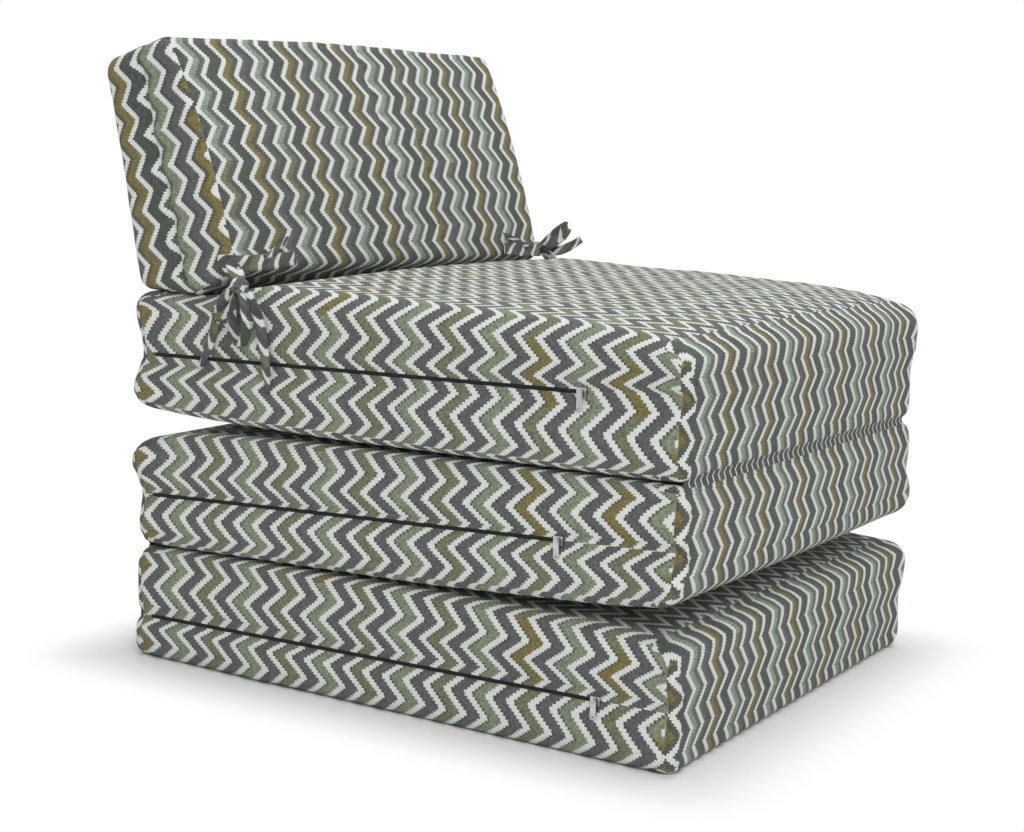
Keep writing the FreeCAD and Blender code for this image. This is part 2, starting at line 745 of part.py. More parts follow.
def flat_piece(name, edges, side, inner, thickness):
    """A flat piece of the bow beside the cushion, from its outline in the middle plane."""
    face = Part.Face(Part.Wire(edges))
    face.translate(Vector(side * inner, 0, 0))
    solid = face.extrude(Vector(side * thickness, 0, 0))
    if solid.Volume < 0:
        solid.reverse()
    return keep(feature(name, solid, Placement()), name)


def outline(points):
    count = len(points)
    return [Part.LineSegment(points[i], points[(i + 1) % count]).toShape() for i in range(count)]


def strap_outline():
    """From just above the knot to a round end about the place where the back cushion tips."""
    knot = Vector(0, knot_y, knot_z)
    along = (Vector(0, back_pivot.y, back_pivot.z) - knot).normalize()
    across = Vector(0, along.z, -along.y) * tie_half_width
    start = knot + along * hang
    end = Vector(0, back_pivot.y, back_pivot.z)
    return [
        Part.LineSegment(start - across, end - across).toShape(),
        Part.Arc(end - across, end + along * tie_half_width, end + across).toShape(),
        Part.LineSegment(end + across, start + across).toShape(),
        Part.LineSegment(start + across, start - across).toShape(),
    ]


def tail_outline(length, lean, start_y):
    """A hanging end, narrower and cut at a slant at its tip."""
    along = Vector(0, math.sin(lean), -math.cos(lean))
    across = Vector(0, math.cos(lean), math.sin(lean)) * tie_half_width
    start = Vector(0, start_y, knot_z - hang)
    tip = start + along * length
    slant = Vector(0, 0, tie_half_width / 2)
    level = Vector(0, tie_half_width, 0)
    return outline([start - level, start + level, tip + across / 2, tip - across + slant])


def loop_outline():
    """A hanging loop, narrow at the knot and at its lower end."""
    narrow = Vector(0, tie_half_width / 2, 0)
    wide = Vector(0, tie_half_width, 0)
    top = Vector(0, knot_y, knot_z - knot_radius - tie_clearance)
    low = top - Vector(0, 0, dim("loop_length"))
    middle = low + Vector(0, 0, tie_half_width)
    return outline([top - narrow, top + narrow, middle + wide, low + narrow, low - narrow, middle - wide])


def add_bow(side_name, side):
    knot = doc.addObject("Part::Sphere", side_name + "_knot_ball")
    knot.setExpression("Radius", "Dims.knot_radius")
    knot.Placement = Placement(Vector(side * knot_x, knot_y, knot_z), Rotation())
    keep(knot, side_name + "_bow_knot")
    nose_tie(side_name + "_back_tie", side)
    flat_piece(side_name + "_seat_tie", strap_outline(), side, strap_inner, tie_thickness)
    tail_offset = tie_half_width + dim("tail_spread") / 2
    for tail, start_y in (("long_tail", knot_y - tail_offset), ("short_tail", knot_y + tail_offset)):
        lean = math.radians(dim(tail + "_lean"))
        edges = tail_outline(dim(tail + "_length"), lean, start_y)
        flat_piece(side_name + "_bow_" + tail, edges, side, strap_inner, tie_thickness)
    loop_inner = strap_outer + tie_clearance
    flat_piece(side_name + "_bow_loop", loop_outline(), side, loop_inner, dim("loop_thickness"))


add_bow("right", -1)
add_bow("left", 1)


# Check and write

doc.recompute()
for item in doc.Objects:
    faults = [state for state in item.State if state in ("Invalid", "Error")]
    if faults:
        raise SystemExit(f"{item.Name} is {faults}")
for subpart in SUBPARTS:
    if subpart.Shape.isNull() or not subpart.Shape.isValid():
        raise SystemExit(f"{subpart.Label} has no valid shape")
    if len(subpart.Shape.Solids) == 0:
        raise SystemExit(f"{subpart.Label} holds no solid")

os.makedirs("parts", exist_ok=True)
for subpart in SUBPARTS:
    subpart.Shape.exportStep(os.path.join("parts", subpart.Label + ".step"))
    box = subpart.Shape.BoundBox
    print(f"{subpart.Label}: {len(subpart.Shape.Solids)} solid, {subpart.Shape.Volume / 1000:.1f} cm3, "
          f"z {box.ZMin:.1f} to {box.ZMax:.1f}")
print(f"rear fold {rear_fold}, front fold {front_fold}, back pivot {back_pivot}")
print(f"seat level {seat_level:.2f}, knot {knot_x:.2f}, {knot_y:.2f}, {knot_z:.2f}")
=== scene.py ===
import math
from functools import partial

import bmesh
import bpy
import numpy as np
from mathutils import Matrix, Vector, noise


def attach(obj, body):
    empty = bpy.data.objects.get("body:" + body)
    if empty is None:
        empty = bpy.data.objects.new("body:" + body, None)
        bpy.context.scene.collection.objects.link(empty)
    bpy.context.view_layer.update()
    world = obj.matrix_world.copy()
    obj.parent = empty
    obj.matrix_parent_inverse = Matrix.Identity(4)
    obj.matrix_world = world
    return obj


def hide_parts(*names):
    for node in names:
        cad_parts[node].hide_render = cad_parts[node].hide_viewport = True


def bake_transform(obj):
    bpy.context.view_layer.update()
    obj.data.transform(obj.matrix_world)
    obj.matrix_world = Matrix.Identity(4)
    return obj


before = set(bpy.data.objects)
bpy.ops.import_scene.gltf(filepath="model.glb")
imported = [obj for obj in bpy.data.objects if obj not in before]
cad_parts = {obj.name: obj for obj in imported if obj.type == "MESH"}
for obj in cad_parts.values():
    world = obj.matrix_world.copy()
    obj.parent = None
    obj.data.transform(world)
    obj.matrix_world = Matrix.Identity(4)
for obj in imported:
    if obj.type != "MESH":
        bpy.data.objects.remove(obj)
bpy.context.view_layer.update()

# BOTTOM CUSHION
# A slab of foam in a tight woven cover that lies flat on the floor. The wrap runs round the slab
# and closes in a zip along the near side, which draws that side in. A separate panel covers each
# end and returns over its edges to a sewn line.

HALF_WIDTH, HALF_LENGTH = 0.335, 0.328
LONG_ROUND, CORNER_ROUND = 0.018, 0.012
DRAW_IN, SIDE_SWELL = 0.006, 0.002
CROWN_REACH, SIDE_CROWN = 0.110, 0.8
# Edges of a cushion's ends seen from the side: free, sewn at a fold, or pressed by a neighbour
FREE_ROUND, SEWN_ROUND, PRESSED_ROUND = 0.022, 0.014, 0.012
PANEL_RETURN, PANEL_SIDE = 0.030, 0.0085
POINT_REACH, POINT_OUT, DRAWN_IN = 0.033, 0.0115, -0.002  # corners of the end panels
ZIP_BAND, ZIP_END_INSET = 0.0048, 0.022
LONG_SPACING = 124
TILT = math.radians(3.95)
CONTACT = 0.0034  # twice the fold gap, less the gap between cushions that rest on each other

WHITE_YARN = (0.850, 0.880, 0.845, 1)
SLATE_YARN = (0.132, 0.140, 0.138, 1)
DARK_GREEN_YARN = (0.092, 0.106, 0.092, 1)
SAGE_YARN = (0.270, 0.305, 0.205, 1)
OLIVE_YARN = (0.205, 0.222, 0.128, 1)
OCHRE_YARN = (0.235, 0.195, 0.068, 1)
DARK_YARN = (0.085, 0.095, 0.085, 1)
MINT_YARN = (0.300, 0.370, 0.290, 1)


COLOURS = ("White", "Band 1", "Band 2", "Band 3", "Band 4", "Edge", "Accent")


def feed(tree, node, values):
    """Gives a node's inputs, by name or number, values or the outputs that they follow."""
    for key, value in values.items():
        if isinstance(value, bpy.types.NodeSocket):
            tree.links.new(value, node.inputs[key])
        else:
            node.inputs[key].default_value = value


def added(tree, kind, values, **settings):
    """A new shader node with its settings and inputs."""
    node = tree.nodes.new("ShaderNode" + kind)
    for label, setting in settings.items():
        setattr(node, label, setting)
    feed(tree, node, values)
    return node


def maths(tree, operation, *values):
    return added(tree, "Math", dict(enumerate(values)), operation=operation).outputs[0]


def mixed(tree, share, first, second, blend="MIX"):
    values = {0: share, 6: first, 7: second}
    return added(tree, "Mix", values, data_type="RGBA", blend_type=blend).outputs[2]


def combined(tree, *values):
    return added(tree, "CombineXYZ", dict(enumerate(values))).outputs[0]


def parts_of(tree, vector):
    return added(tree, "SeparateXYZ", {0: vector}).outputs


def speckle(tree, vector, scale, detail=2.0):
    values = {"Vector": vector, "Scale": scale, "Detail": detail}
    return added(tree, "TexNoise", values).outputs["Fac"]


def ranged(tree, *values, curve="LINEAR"):
    """A value brought from between two limits to between two others."""
    return added(tree, "MapRange", dict(enumerate(values)), interpolation_type=curve).outputs[0]


def relief(tree, height, distance, strength):
    values = {"Height": height, "Distance": distance, "Strength": strength}
    return added(tree, "Bump", values).outputs[0]


def new_surface(name, values):
    """A new material, its tree and its surface with these inputs."""
    material = bpy.data.materials.new(name)
    material.use_nodes = True
    surface = material.node_tree.nodes["Principled BSDF"]
    feed(material.node_tree, surface, values)
    return material, material.node_tree, surface


def new_group(name, inputs, outputs):
    """An empty shader group with its sockets; returns the tree, its inputs and its output node."""
    tree = bpy.data.node_groups.new(name, "ShaderNodeTree")
    for label, kind, value in inputs:
        socket = tree.interface.new_socket(label, in_out="INPUT", socket_type="NodeSocket" + kind)
        if value is not None:
            socket.default_value = value
    for label, kind in outputs:
        tree.interface.new_socket(label, in_out="OUTPUT", socket_type="NodeSocket" + kind)
    entry = tree.nodes.new("NodeGroupInput")
    return tree, entry.outputs, tree.nodes.new("NodeGroupOutput")


def plain_weave():
    """Over and under of single threads: their height, and painted shade in the hollows between them."""
    tree, given, result = new_group(
        "plain weave",
        [("Cloth", "Vector", None), ("Thread", "Float", 0.0013)],
        [("Height", "Float"), ("Shade", "Float")],
    )
    calc = partial(maths, tree)
    split = parts_of(tree, given["Cloth"])
    threads = [calc("DIVIDE", split[axis], given["Thread"]) for axis in (0, 1)]
    cells = calc("ADD", *[calc("FLOOR", place) for place in threads])
    over = calc("FLOORED_MODULO", cells, 2.0)
    humps = [calc("ABSOLUTE", calc("SINE", calc("MULTIPLY", place, math.pi))) for place in threads]
    first = calc("MULTIPLY", humps[0], calc("SUBTRACT", 1.0, over))
    height = calc("ADD", first, calc("MULTIPLY", humps[1], over))
    feed(tree, result, {"Height": height, "Shade": ranged(tree, height, 0.0, 0.8, 0.78, 1.06)})
    return tree


WEAVE = plain_weave()


def zigzag_bands():
    """White zigzag lines with stepped edges between coloured bands, in a plain weave."""
    floats = [
        ("Pitch", 0.024), ("White share", 0.33), ("Period", 0.040), ("Amplitude", 0.023),
        ("Step", 0.0028), ("Shift", 0.0), ("Edge share", 0.25), ("Accent share", 0.3),
    ]
    tree, given, result = new_group(
        "zigzag bands",
        [("Cloth", "Vector", None)] + [(label, "Float", value) for label, value in floats]
        + [(label, "Color", (0.5, 0.5, 0.5, 1)) for label in COLOURS],
        [("Color", "Color"), ("Height", "Float"), ("Roughness", "Float")],
    )
    calc, mix = partial(maths, tree), partial(mixed, tree)
    across, along, _ = parts_of(tree, given["Cloth"])
    row = calc("FLOOR", calc("DIVIDE", along, given["Step"]))
    stepped = calc("MULTIPLY", row, given["Step"])
    half = calc("MULTIPLY", given["Period"], 0.5)
    swing = calc("DIVIDE", calc("PINGPONG", stepped, half), half)
    moved = calc("MULTIPLY_ADD", swing, given["Amplitude"], across)
    place = calc("DIVIDE", calc("ADD", moved, given["Shift"]), given["Pitch"])
    band = calc("FLOOR", place)
    fibre = speckle(tree, given["Cloth"], 620.0, 3.0)
    ragged = calc("MULTIPLY_ADD", calc("SUBTRACT", fibre, 0.5), 0.16, calc("SUBTRACT", place, band))
    white = calc("LESS_THAN", ragged, given["White share"])
    edge = calc("GREATER_THAN", ragged, calc("SUBTRACT", 1.0, given["Edge share"]))
    turn = calc("FLOORED_MODULO", band, 4.0)
    colour = given["Band 1"]
    for index in (2, 3, 4):
        colour = mix(calc("GREATER_THAN", turn, index - 1.5), colour, given["Band %d" % index])
    lot = added(tree, "TexWhiteNoise", {"W": band}, noise_dimensions="1D").outputs["Value"]
    drift = speckle(tree, combined(tree, calc("MULTIPLY", band, 5.3), along), 7.0, 1.0)
    chance = calc("MULTIPLY_ADD", drift, 0.9, calc("MULTIPLY", lot, 0.5))
    accent = calc("GREATER_THAN", chance, calc("SUBTRACT", 1.12, given["Accent share"]))
    odd = calc("FLOORED_MODULO", band, 2.0)
    colour = mix(calc("MULTIPLY", accent, odd), colour, given["Accent"])
    colour = mix(calc("MULTIPLY", edge, 0.75), colour, given["Edge"])
    stitches = {0: given["Cloth"], 1: (0.0015, 0.0015, 1.0)}
    stitch = added(tree, "VectorMath", stitches, operation="SNAP").outputs[0]
    single = added(tree, "TexWhiteNoise", {"Vector": stitch}, noise_dimensions="2D")
    flecks = calc("MULTIPLY_ADD", single.outputs["Value"], 0.62, 0.66)
    colour = mix(white, mix(1.0, colour, flecks, "MULTIPLY"), given["White"])
    weave = added(tree, "Group", {"Cloth": given["Cloth"]}, node_tree=WEAVE).outputs
    # Painted shade between the threads, times a random tone of the fibres
    thread_shade_and_tone = calc("MULTIPLY", weave["Shade"], ranged(tree, fibre, 0.2, 0.8, 0.86, 1.12))
    feed(tree, result, {
        "Color": mix(1.0, colour, thread_shade_and_tone, "MULTIPLY"),
        "Height": calc("MULTIPLY_ADD", white, 0.6, weave["Height"]),
        "Roughness": ranged(tree, fibre, 0.0, 1.0, 0.97, 0.84),
    })
    return tree


ZIGZAG = zigzag_bands()
CLOTH_VALUES = ("Pitch", "White share", "Period", "Amplitude", "Edge share", "Accent share", "Shift")


def cloth_material(name, values, bands, accent):
    """The zigzag cloth with its own sizes, in the order of CLOTH_VALUES, and colours."""
    material, tree, surface = new_surface(
        name, {"Specular IOR Level": 0.2, "Sheen Weight": 0.12, "Sheen Roughness": 0.6})
    given = {"Cloth": added(tree, "UVMap", {}, uv_map="cloth").outputs[0]}
    given.update(zip(CLOTH_VALUES, values))
    given.update(zip(COLOURS, (WHITE_YARN, *bands, DARK_YARN, accent)))
    weave = added(tree, "Group", given, node_tree=ZIGZAG).outputs
    feed(tree, surface, {
        "Base Color": weave["Color"], "Roughness": weave["Roughness"],
        "Normal": relief(tree, weave["Height"], 0.0006, 0.7),
    })
    return material


wrap_cloth = cloth_material(
    "wrap cloth",
    (0.0243, 0.36, 0.0410, 0.0235, 0.12, 0.24, 0.0),
    (SLATE_YARN, OLIVE_YARN, SLATE_YARN, SAGE_YARN), OCHRE_YARN,
)
panel_cloth = cloth_material(
    "panel cloth",
    (0.0257, 0.30, 0.0390, 0.0180, 0.34, 0.22, 0.013),
    (DARK_GREEN_YARN, MINT_YARN, SLATE_YARN, OCHRE_YARN), OLIVE_YARN,
)


def stand_back(distance, radius):
    """How far a face stands back near an end with a rounded edge."""
    if distance >= radius:
        return 0.0
    return radius - math.sqrt(radius ** 2 - (radius - distance) ** 2)


def end_fall(distance, reach=CROWN_REACH):
    """Fall of a crown towards a free end."""
    return math.sqrt(max(0.0, 1 - max(0.0, 1 - distance / reach) ** 2))


def wedge_crown(from_fold, from_free_end, share, crown):
    """Crown of a face that fills its share of the wedge towards its neighbour."""
    wedge = from_fold * math.tan(TILT) + CONTACT * min(from_fold / 0.030, 1.0)
    return min(crown, share * wedge) * end_fall(from_free_end)


def through(low, middle, high, share):
    """A shallow bow through three places at shares 0, a half and 1."""
    return (low * (1 - share) * (1 - 2 * share) + 4 * middle * share * (1 - share)
            + high * share * (2 * share - 1))


def run_along(line):
    """Distance travelled from the first point of a line to each of its points."""
    return np.concatenate([[0], np.cumsum(np.linalg.norm(np.diff(line, axis=0), axis=1))])


def seam_height(y, zip_front, zip_rear, zip_length):
    run = HALF_LENGTH - ZIP_END_INSET - y
    return zip_rear + (zip_front - zip_rear) * run / zip_length


SIDE_ARC = [math.radians(a) for a in (45, 34, 23, 11, 0)]
TURN_ARC = [math.radians(a) for a in (56, 67, 79)]
# Heights about the zip and how far the cloth stands out there: two lips, and a slot for the coil
ZIP_LIPS = [(-ZIP_BAND, 0.0001), (-0.0032, 0.0002), (-0.0020, 0.0002), (-0.0016, -0.0026),
            (0, -0.0026), (0.0016, -0.0026), (0.0020, 0.0002), (0.0032, 0.0002), (ZIP_BAND, 0.0001)]
SIDE_STEPS = 9
TOP_STEPS = 128


def cushion_section(y, edge, rounds, upper, lower, zip_heights, zip_length):
    """One section and its seam's height: up the near side, over, down the far side and under."""
    rear_top, rear_base, front_top, front_base = rounds
    to_front, to_rear = y + HALF_LENGTH, HALF_LENGTH - y
    side = HALF_WIDTH - stand_back(min(to_front, to_rear), CORNER_ROUND)
    top = edge - max(stand_back(to_front, front_top), stand_back(to_rear, rear_top))
    base = max(stand_back(to_front, front_base), stand_back(to_rear, rear_base))
    low, high = base + LONG_ROUND, top - LONG_ROUND
    seam = seam_height(y, *zip_heights, zip_length)
    seam = min(max(seam, low + 2 * ZIP_BAND), high - 2 * ZIP_BAND)
    crown, belly = upper(to_front, to_rear), lower(to_front, to_rear)
    crown_side, belly_side = top + crown * SIDE_CROWN, base - belly * SIDE_CROWN
    waist, swelled = side - DRAW_IN, side - DRAW_IN / 2 + SIDE_SWELL
    shoulder = side - LONG_ROUND

    def rounded(angles, level, rise):
        return [(shoulder + LONG_ROUND * math.cos(a), level + rise * math.sin(a)) for a in angles]

    def bowed(start, middle, finish, level, rise):
        shares = [step / SIDE_STEPS for step in range(1, SIDE_STEPS)]
        return [(through(start, middle, finish, share), level + rise * share) for share in shares]

    def crowned(level, rise):
        places = [shoulder * (1 - 2 * step / TOP_STEPS) for step in range(TOP_STEPS + 1)]
        return [(x, level + rise * (1 - (1 - SIDE_CROWN) * (x / shoulder) ** 2)) for x in places]

    near = rounded(SIDE_ARC, low, belly_side - low)
    near += bowed(side, swelled, waist, low, seam - ZIP_BAND - low)
    near += [(waist, seam + height) for height, _ in ZIP_LIPS]
    near += bowed(waist, swelled, side, seam + ZIP_BAND, high - seam - ZIP_BAND)
    near += rounded(reversed(SIDE_ARC), high, crown_side - high)
    over = rounded(TURN_ARC, high, crown_side - high) + crowned(top, crown)
    over += [(-x, z) for x, z in reversed(over[:3])]
    under = rounded(TURN_ARC, low, belly_side - low) + crowned(base, -belly)
    under += [(-x, z) for x, z in reversed(under[:3])]
    ring = [(-x, z) for x, z in near] + [(-x, z) for x, z in over]
    ring += list(reversed(near)) + [(x, z) for x, z in under]
    return ring, seam


def spread_stations(half, round_, seam_line, count):
    """Places along a cushion: close together at the rounded ends and at the sewn lines."""
    near = [round_ * (1 - math.cos(math.pi / 2 * step / 10)) for step in range(11)]
    about_seam = [seam_line + step for step in (-0.0035, -0.0013, 0.0, 0.0013, 0.0035)]
    near += [place for place in about_seam if place > round_]
    start = max(near) + 0.004
    near = sorted(near)
    return np.array([-half + d for d in near] + list(np.linspace(-half + start, half - start, count))
                    + [half - d for d in reversed(near)])


def cell(i, j):
    """The corners of one cell of a grid."""
    return (i, j), (i + 1, j), (i + 1, j + 1), (i, j + 1)


def tube_face(i, j, around):
    return tuple(a * around + b % around for a, b in cell(i, j))


def tube_end(first, around):
    """Faces that close a flat ring whose first point has this number."""
    return [tuple(first + c for c in (j, j + 1, around - 2 - j, around - 1 - j))
            for j in range(around // 2 - 1)]


def closed_grid(rings, corner_counts):
    """Points and faces of a tube of rings whose two ends are closed by patches.

    A ring has four sides, with as many steps as corner_counts gives for its first two."""
    rises, spans = corner_counts
    count, around = rings.shape[:2]
    points = [rings.reshape(-1, 3)]
    faces = [tube_face(i, j, around) for i in range(count - 1) for j in range(around)]
    first_free = count * around
    for end in (0, count - 1):
        index = np.full((rises + 1, spans + 1), end * around)
        up, over = np.arange(rises + 1), np.arange(spans + 1)
        index[:, 0] += up
        index[:, -1] += 2 * rises + spans - up
        index[-1, 1:-1] += (rises + over)[1:-1]
        index[0, 1:-1] += (around - over)[1:-1]
        edge = points[0][index]
        r = np.linspace(0, 1, rises + 1)[1:-1, None, None]
        s = np.linspace(0, 1, spans + 1)[None, 1:-1, None]
        patch = ((1 - s) * edge[1:-1, :1] + s * edge[1:-1, -1:]
                 + (1 - r) * edge[:1, 1:-1] + r * edge[-1:, 1:-1]
                 - (1 - r) * (1 - s) * edge[0, 0] - (1 - r) * s * edge[0, -1]
                 - r * (1 - s) * edge[-1, 0] - r * s * edge[-1, -1])
        points.append(patch.reshape(-1, 3))
        inner = (rises - 1, spans - 1)
        index[1:-1, 1:-1] = first_free + np.arange(inner[0] * inner[1]).reshape(inner)
        first_free += inner[0] * inner[1]
        faces += [(index[a, b], index[a, b + 1], index[a + 1, b + 1], index[a + 1, b])
                  for a in range(rises) for b in range(spans)]
    return np.concatenate(points), np.array(faces)


def in_scene(name, data):
    item = bpy.data.objects.new(name, data)
    bpy.context.scene.collection.objects.link(item)
    return item


def turned_out(name, mesh):
    """An object of a mesh whose faces are turned outwards."""
    form = bmesh.new()
    form.from_mesh(mesh)
    bmesh.ops.recalc_face_normals(form, faces=form.faces)
    form.to_mesh(mesh)
    form.free()
    mesh.update()
    return in_scene(name, mesh)


def cloth_mesh(name, points, faces, laid, kinds, materials):
    """A closed cloth form. laid holds each face's four places on the flat cloth."""
    mesh = bpy.data.meshes.new(name)
    mesh.from_pydata(points.tolist(), [], faces.tolist())
    layer = mesh.uv_layers.new(name="cloth")
    layer.data.foreach_set("uv", np.asarray(laid, float).reshape(-1))
    mesh.polygons.foreach_set("material_index", np.asarray(kinds, np.int32))
    mesh.polygons.foreach_set("use_smooth", np.ones(len(faces), bool))
    for material in materials:
        mesh.materials.append(material)
    return turned_out(name, mesh)


def read_normals(mesh):
    values = np.zeros(len(mesh.vertices) * 3)
    mesh.vertices.foreach_get("normal", values)
    return values.reshape(-1, 3)


def wrinkles(points, scale, seed):
    return np.array([noise.noise(Vector((x * scale + seed, y * scale, z * scale)))
                     for x, y, z in points])


def on_columns(chosen, rows, points):
    """Which points are in the chosen columns of the rings; those of the end patches are not."""
    return np.concatenate([np.tile(chosen, rows), np.zeros(len(points) - rows * len(chosen), bool)])


def bell(distance, width):
    return np.exp(-(distance / width) ** 2)


def seat_cushion(name, place, edge, rounds, upper, lower, zip_heights, zip_length, seed,
                 free_top=False):
    """A cushion of the stack. rounds has its ends' edges: rear top and base, front top and base."""
    stations = spread_stations(HALF_LENGTH, FREE_ROUND, PANEL_RETURN, LONG_SPACING)
    sections = [cushion_section(y, edge, rounds, upper, lower, zip_heights, zip_length)
                for y in stations]
    rings = np.array([[(x, y, z) for x, z in ring] for y, (ring, _) in zip(stations, sections)])
    rises = 2 * (len(SIDE_ARC) - 1) + 2 * SIDE_STEPS + len(ZIP_LIPS) - 1
    spans = TOP_STEPS + 8
    points, faces = closed_grid(rings, (rises, spans))
    count, around = rings.shape[:2]

    # Places on the flat cloth: along the depth and round the section for the wrap, across the width
    # and up over the edges for the end panels
    middle_ring = rings[count // 2]
    round_run = run_along(np.vstack([middle_ring, middle_ring[:1]]))
    profile = rings[:, rises + spans // 2, 1:]
    base_profile = rings[:, around - spans // 2, 1:]
    up_run, down_run, side_run = run_along(profile), run_along(base_profile), run_along(rings[:, 0, :2])
    return_index = int(np.argmin(abs(stations + HALF_LENGTH - PANEL_RETURN)))
    corner_index = int(np.argmin(abs(stations + HALF_LENGTH - PANEL_SIDE)))
    seam_column = len(SIDE_ARC) - 1 + SIDE_STEPS + len(ZIP_LIPS) // 2
    laid, kinds = [], []
    for i in range(count - 1):
        near_end = min(i, count - 2 - i)
        rear = i > count // 2
        for j in range(around):
            on_top = rises <= j < rises + spans
            under = j >= 2 * rises + spans
            panel = near_end < (return_index if on_top or under else corner_index)
            if panel:
                run = up_run if on_top else down_run
                sign = 1 if on_top else -1 if under else 0
                values = []
                for a, b in cell(i, j):
                    x, _, z = rings[a, b % around]
                    travelled = run[-1] - run[a] if rear else run[a]
                    height = (profile if on_top else base_profile)[-1 if rear else 0, 1]
                    beyond = side_run[-1] - side_run[a] if rear else side_run[a]
                    turned = math.copysign(HALF_WIDTH - CORNER_ROUND + beyond, x)
                    values.append((x, height + sign * travelled) if sign else (turned, z))
            else:
                below = 0.007 if j < seam_column else 0.0
                values = [(stations[a] + below, round_run[b] + below) for a, b in cell(i, j)]
            laid.append(values)
            kinds.append(1 if panel else 0)
    for face in faces[len(laid):]:
        laid.append([(points[v][0], points[v][2]) for v in face])
        kinds.append(1)
    for index, face_kind in enumerate(kinds):
        if face_kind and points[faces[index][0]][1] > 0:
            laid[index] = [(p + 0.011, q + 0.013) for p, q in laid[index]]

    # Softness: the slot and lips of the zip, puckers along it, sunk seams, slack in the cloth
    piece = cloth_mesh(name, points, faces, laid, kinds, [wrap_cloth, panel_cloth])
    mesh = piece.data
    normals = read_normals(mesh)
    out = np.zeros(len(points))
    body = count * around
    y = points[:, 1]
    seams = np.zeros(len(points))
    seams[:body] = np.repeat([seam for _, seam in sections], around)
    lift = points[:, 2] - seams
    zip_rear = HALF_LENGTH - ZIP_END_INSET
    inside = np.clip((y - (zip_rear - zip_length) + 0.004) / 0.004, 0, 1)
    inside *= np.clip((zip_rear + 0.006 - y) / 0.004, 0, 1)
    for column, (_, stand) in enumerate(ZIP_LIPS, len(SIDE_ARC) - 1 + SIDE_STEPS):
        out[column:body:around] += stand * inside[column:body:around]
    columns = np.arange(around)
    near_side = on_columns(columns <= rises, count, points)
    slack = wrinkles(points, 9.0, seed)
    fine = wrinkles(points, 42.0, seed + 7.0)
    distance = np.abs(lift)
    gather = bell(distance - 0.011, 0.008) * (distance > ZIP_BAND) * near_side
    out += gather * (0.0007 * np.sin(y / 0.0037 + 5 * slack) + 0.0008)
    far_columns = (columns >= rises + spans) & (columns <= 2 * rises + spans)
    on_side = on_columns((columns <= rises) | far_columns, count, points)
    on_top = on_columns((columns > rises) & (columns < rises + spans), count, points)
    clear_of_zip = np.clip((distance - 0.005) / 0.012, 0, 1)
    out += on_side * clear_of_zip * (0.0032 * slack + 0.0010 * fine)
    if free_top:
        free = np.clip((HALF_LENGTH - 0.150 - y) / 0.060, 0, 1)
        out += on_top * free * (0.0026 * slack + 0.0006 * fine)
    cap = np.arange(len(points)) >= body
    across = np.clip(1 - (points[:, 0] / HALF_WIDTH) ** 2, 0, 1)
    upright = np.clip(1 - ((points[:, 2] - edge / 2) / (edge / 2)) ** 2, 0, 1)
    out += cap * (0.0015 * across * upright + 0.0010 * slack * upright + 0.0004 * fine)
    sunk = np.zeros((count, around))
    for i in (return_index, count - 1 - return_index):
        sunk[i, rises:rises + spans + 1] = 1
        sunk[i, 2 * rises + spans:] = 1
    for i in (corner_index, count - 1 - corner_index):
        sunk[i, :rises + 1] = 1
        sunk[i, rises + spans:2 * rises + spans + 1] = 1
    for column in (0, rises, rises + spans, 2 * rises + spans):
        sunk[corner_index:return_index, column] = 1
        sunk[count - return_index:count - corner_index, column] = 1
    out[:body] -= 0.0011 * sunk.reshape(-1)
    moved = points + normals * out[:, None]
    if free_top:
        # The far side of the seat stands fuller than the zipped side
        far_fullness = 0.55
        upper_half = np.clip(points[:, 2] / edge * 2 - 1, 0, 1)
        along = np.clip(y, -HALF_LENGTH, HALF_LENGTH)
        full = np.array([upper(v + HALF_LENGTH, HALF_LENGTH - v) for v in along])
        to_far_side = np.clip(0.5 + points[:, 0] / HALF_WIDTH / 2, 0, 1)
        moved[:, 2] += far_fullness * full * upper_half * to_far_side
    # The free corners of the end panels stand out in soft points, and the sewn ones draw in a little
    for radius, end, height in zip(rounds, (1, 1, -1, -1), (edge, 0, edge, 0)):
        for hand in (-1, 1):
            corner = np.array([hand * HALF_WIDTH, end * HALF_LENGTH, height])
            near = bell(np.linalg.norm(points - corner, axis=1), POINT_REACH)
            near *= np.where(near_side, np.clip((distance - 0.010) / 0.020, 0, 1), 1.0)
            stand = POINT_OUT if radius == FREE_ROUND else DRAWN_IN
            moved += near[:, None] * np.array([hand * stand, end * 0.0030, 0.0])
    if name.startswith("bottom"):
        moved[:, 2] = np.maximum(moved[:, 2], 0.0)
    mesh.vertices.foreach_set("co", moved.reshape(-1))
    mesh.transform(place)
    mesh.update()

    owner = name.split("_")[0]
    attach(piece, owner)
    nodes = [owner + "_" + part for part in ("foam", "wrap_cover", "front_panel", "rear_panel")]
    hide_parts(*nodes)


bottom_place = Matrix.Identity(4)
bottom_zip = ((0.060, 0.047), 0.549)
seat_cushion(
    "bottom_cushion", bottom_place, 0.122,
    (SEWN_ROUND, PRESSED_ROUND, FREE_ROUND, PRESSED_ROUND),
    lambda front, rear: wedge_crown(rear, front, 0.45, 0.014),
    lambda front, rear: 0.0, *bottom_zip, seed=3.1,
)

# MIDDLE CUSHION
# The same slab and cover, a little thinner. It is sewn to the bottom cushion along the rear edge
# and rises towards the front, so the stack opens there.

rear_fold = Vector((0, 0.330, 0.124))
middle_place = (Matrix.Translation(rear_fold) @ Matrix.Rotation(-TILT, 4, "X")
                @ Matrix.Translation((0, -0.330, 0.002)))
middle_zip = ((0.048, 0.055), 0.502)
seat_cushion(
    "middle_cushion", middle_place, 0.108,
    (FREE_ROUND, SEWN_ROUND, SEWN_ROUND, FREE_ROUND),
    lambda front, rear: wedge_crown(front, rear, 0.55, 0.020),
    lambda front, rear: wedge_crown(rear, front, 0.55, 0.016), *middle_zip, seed=17.4,
)

# TOP CUSHION
# The seat: crowned where it is free, pressed flat under the back cushion. Its front edge is sewn
# to the middle cushion's.

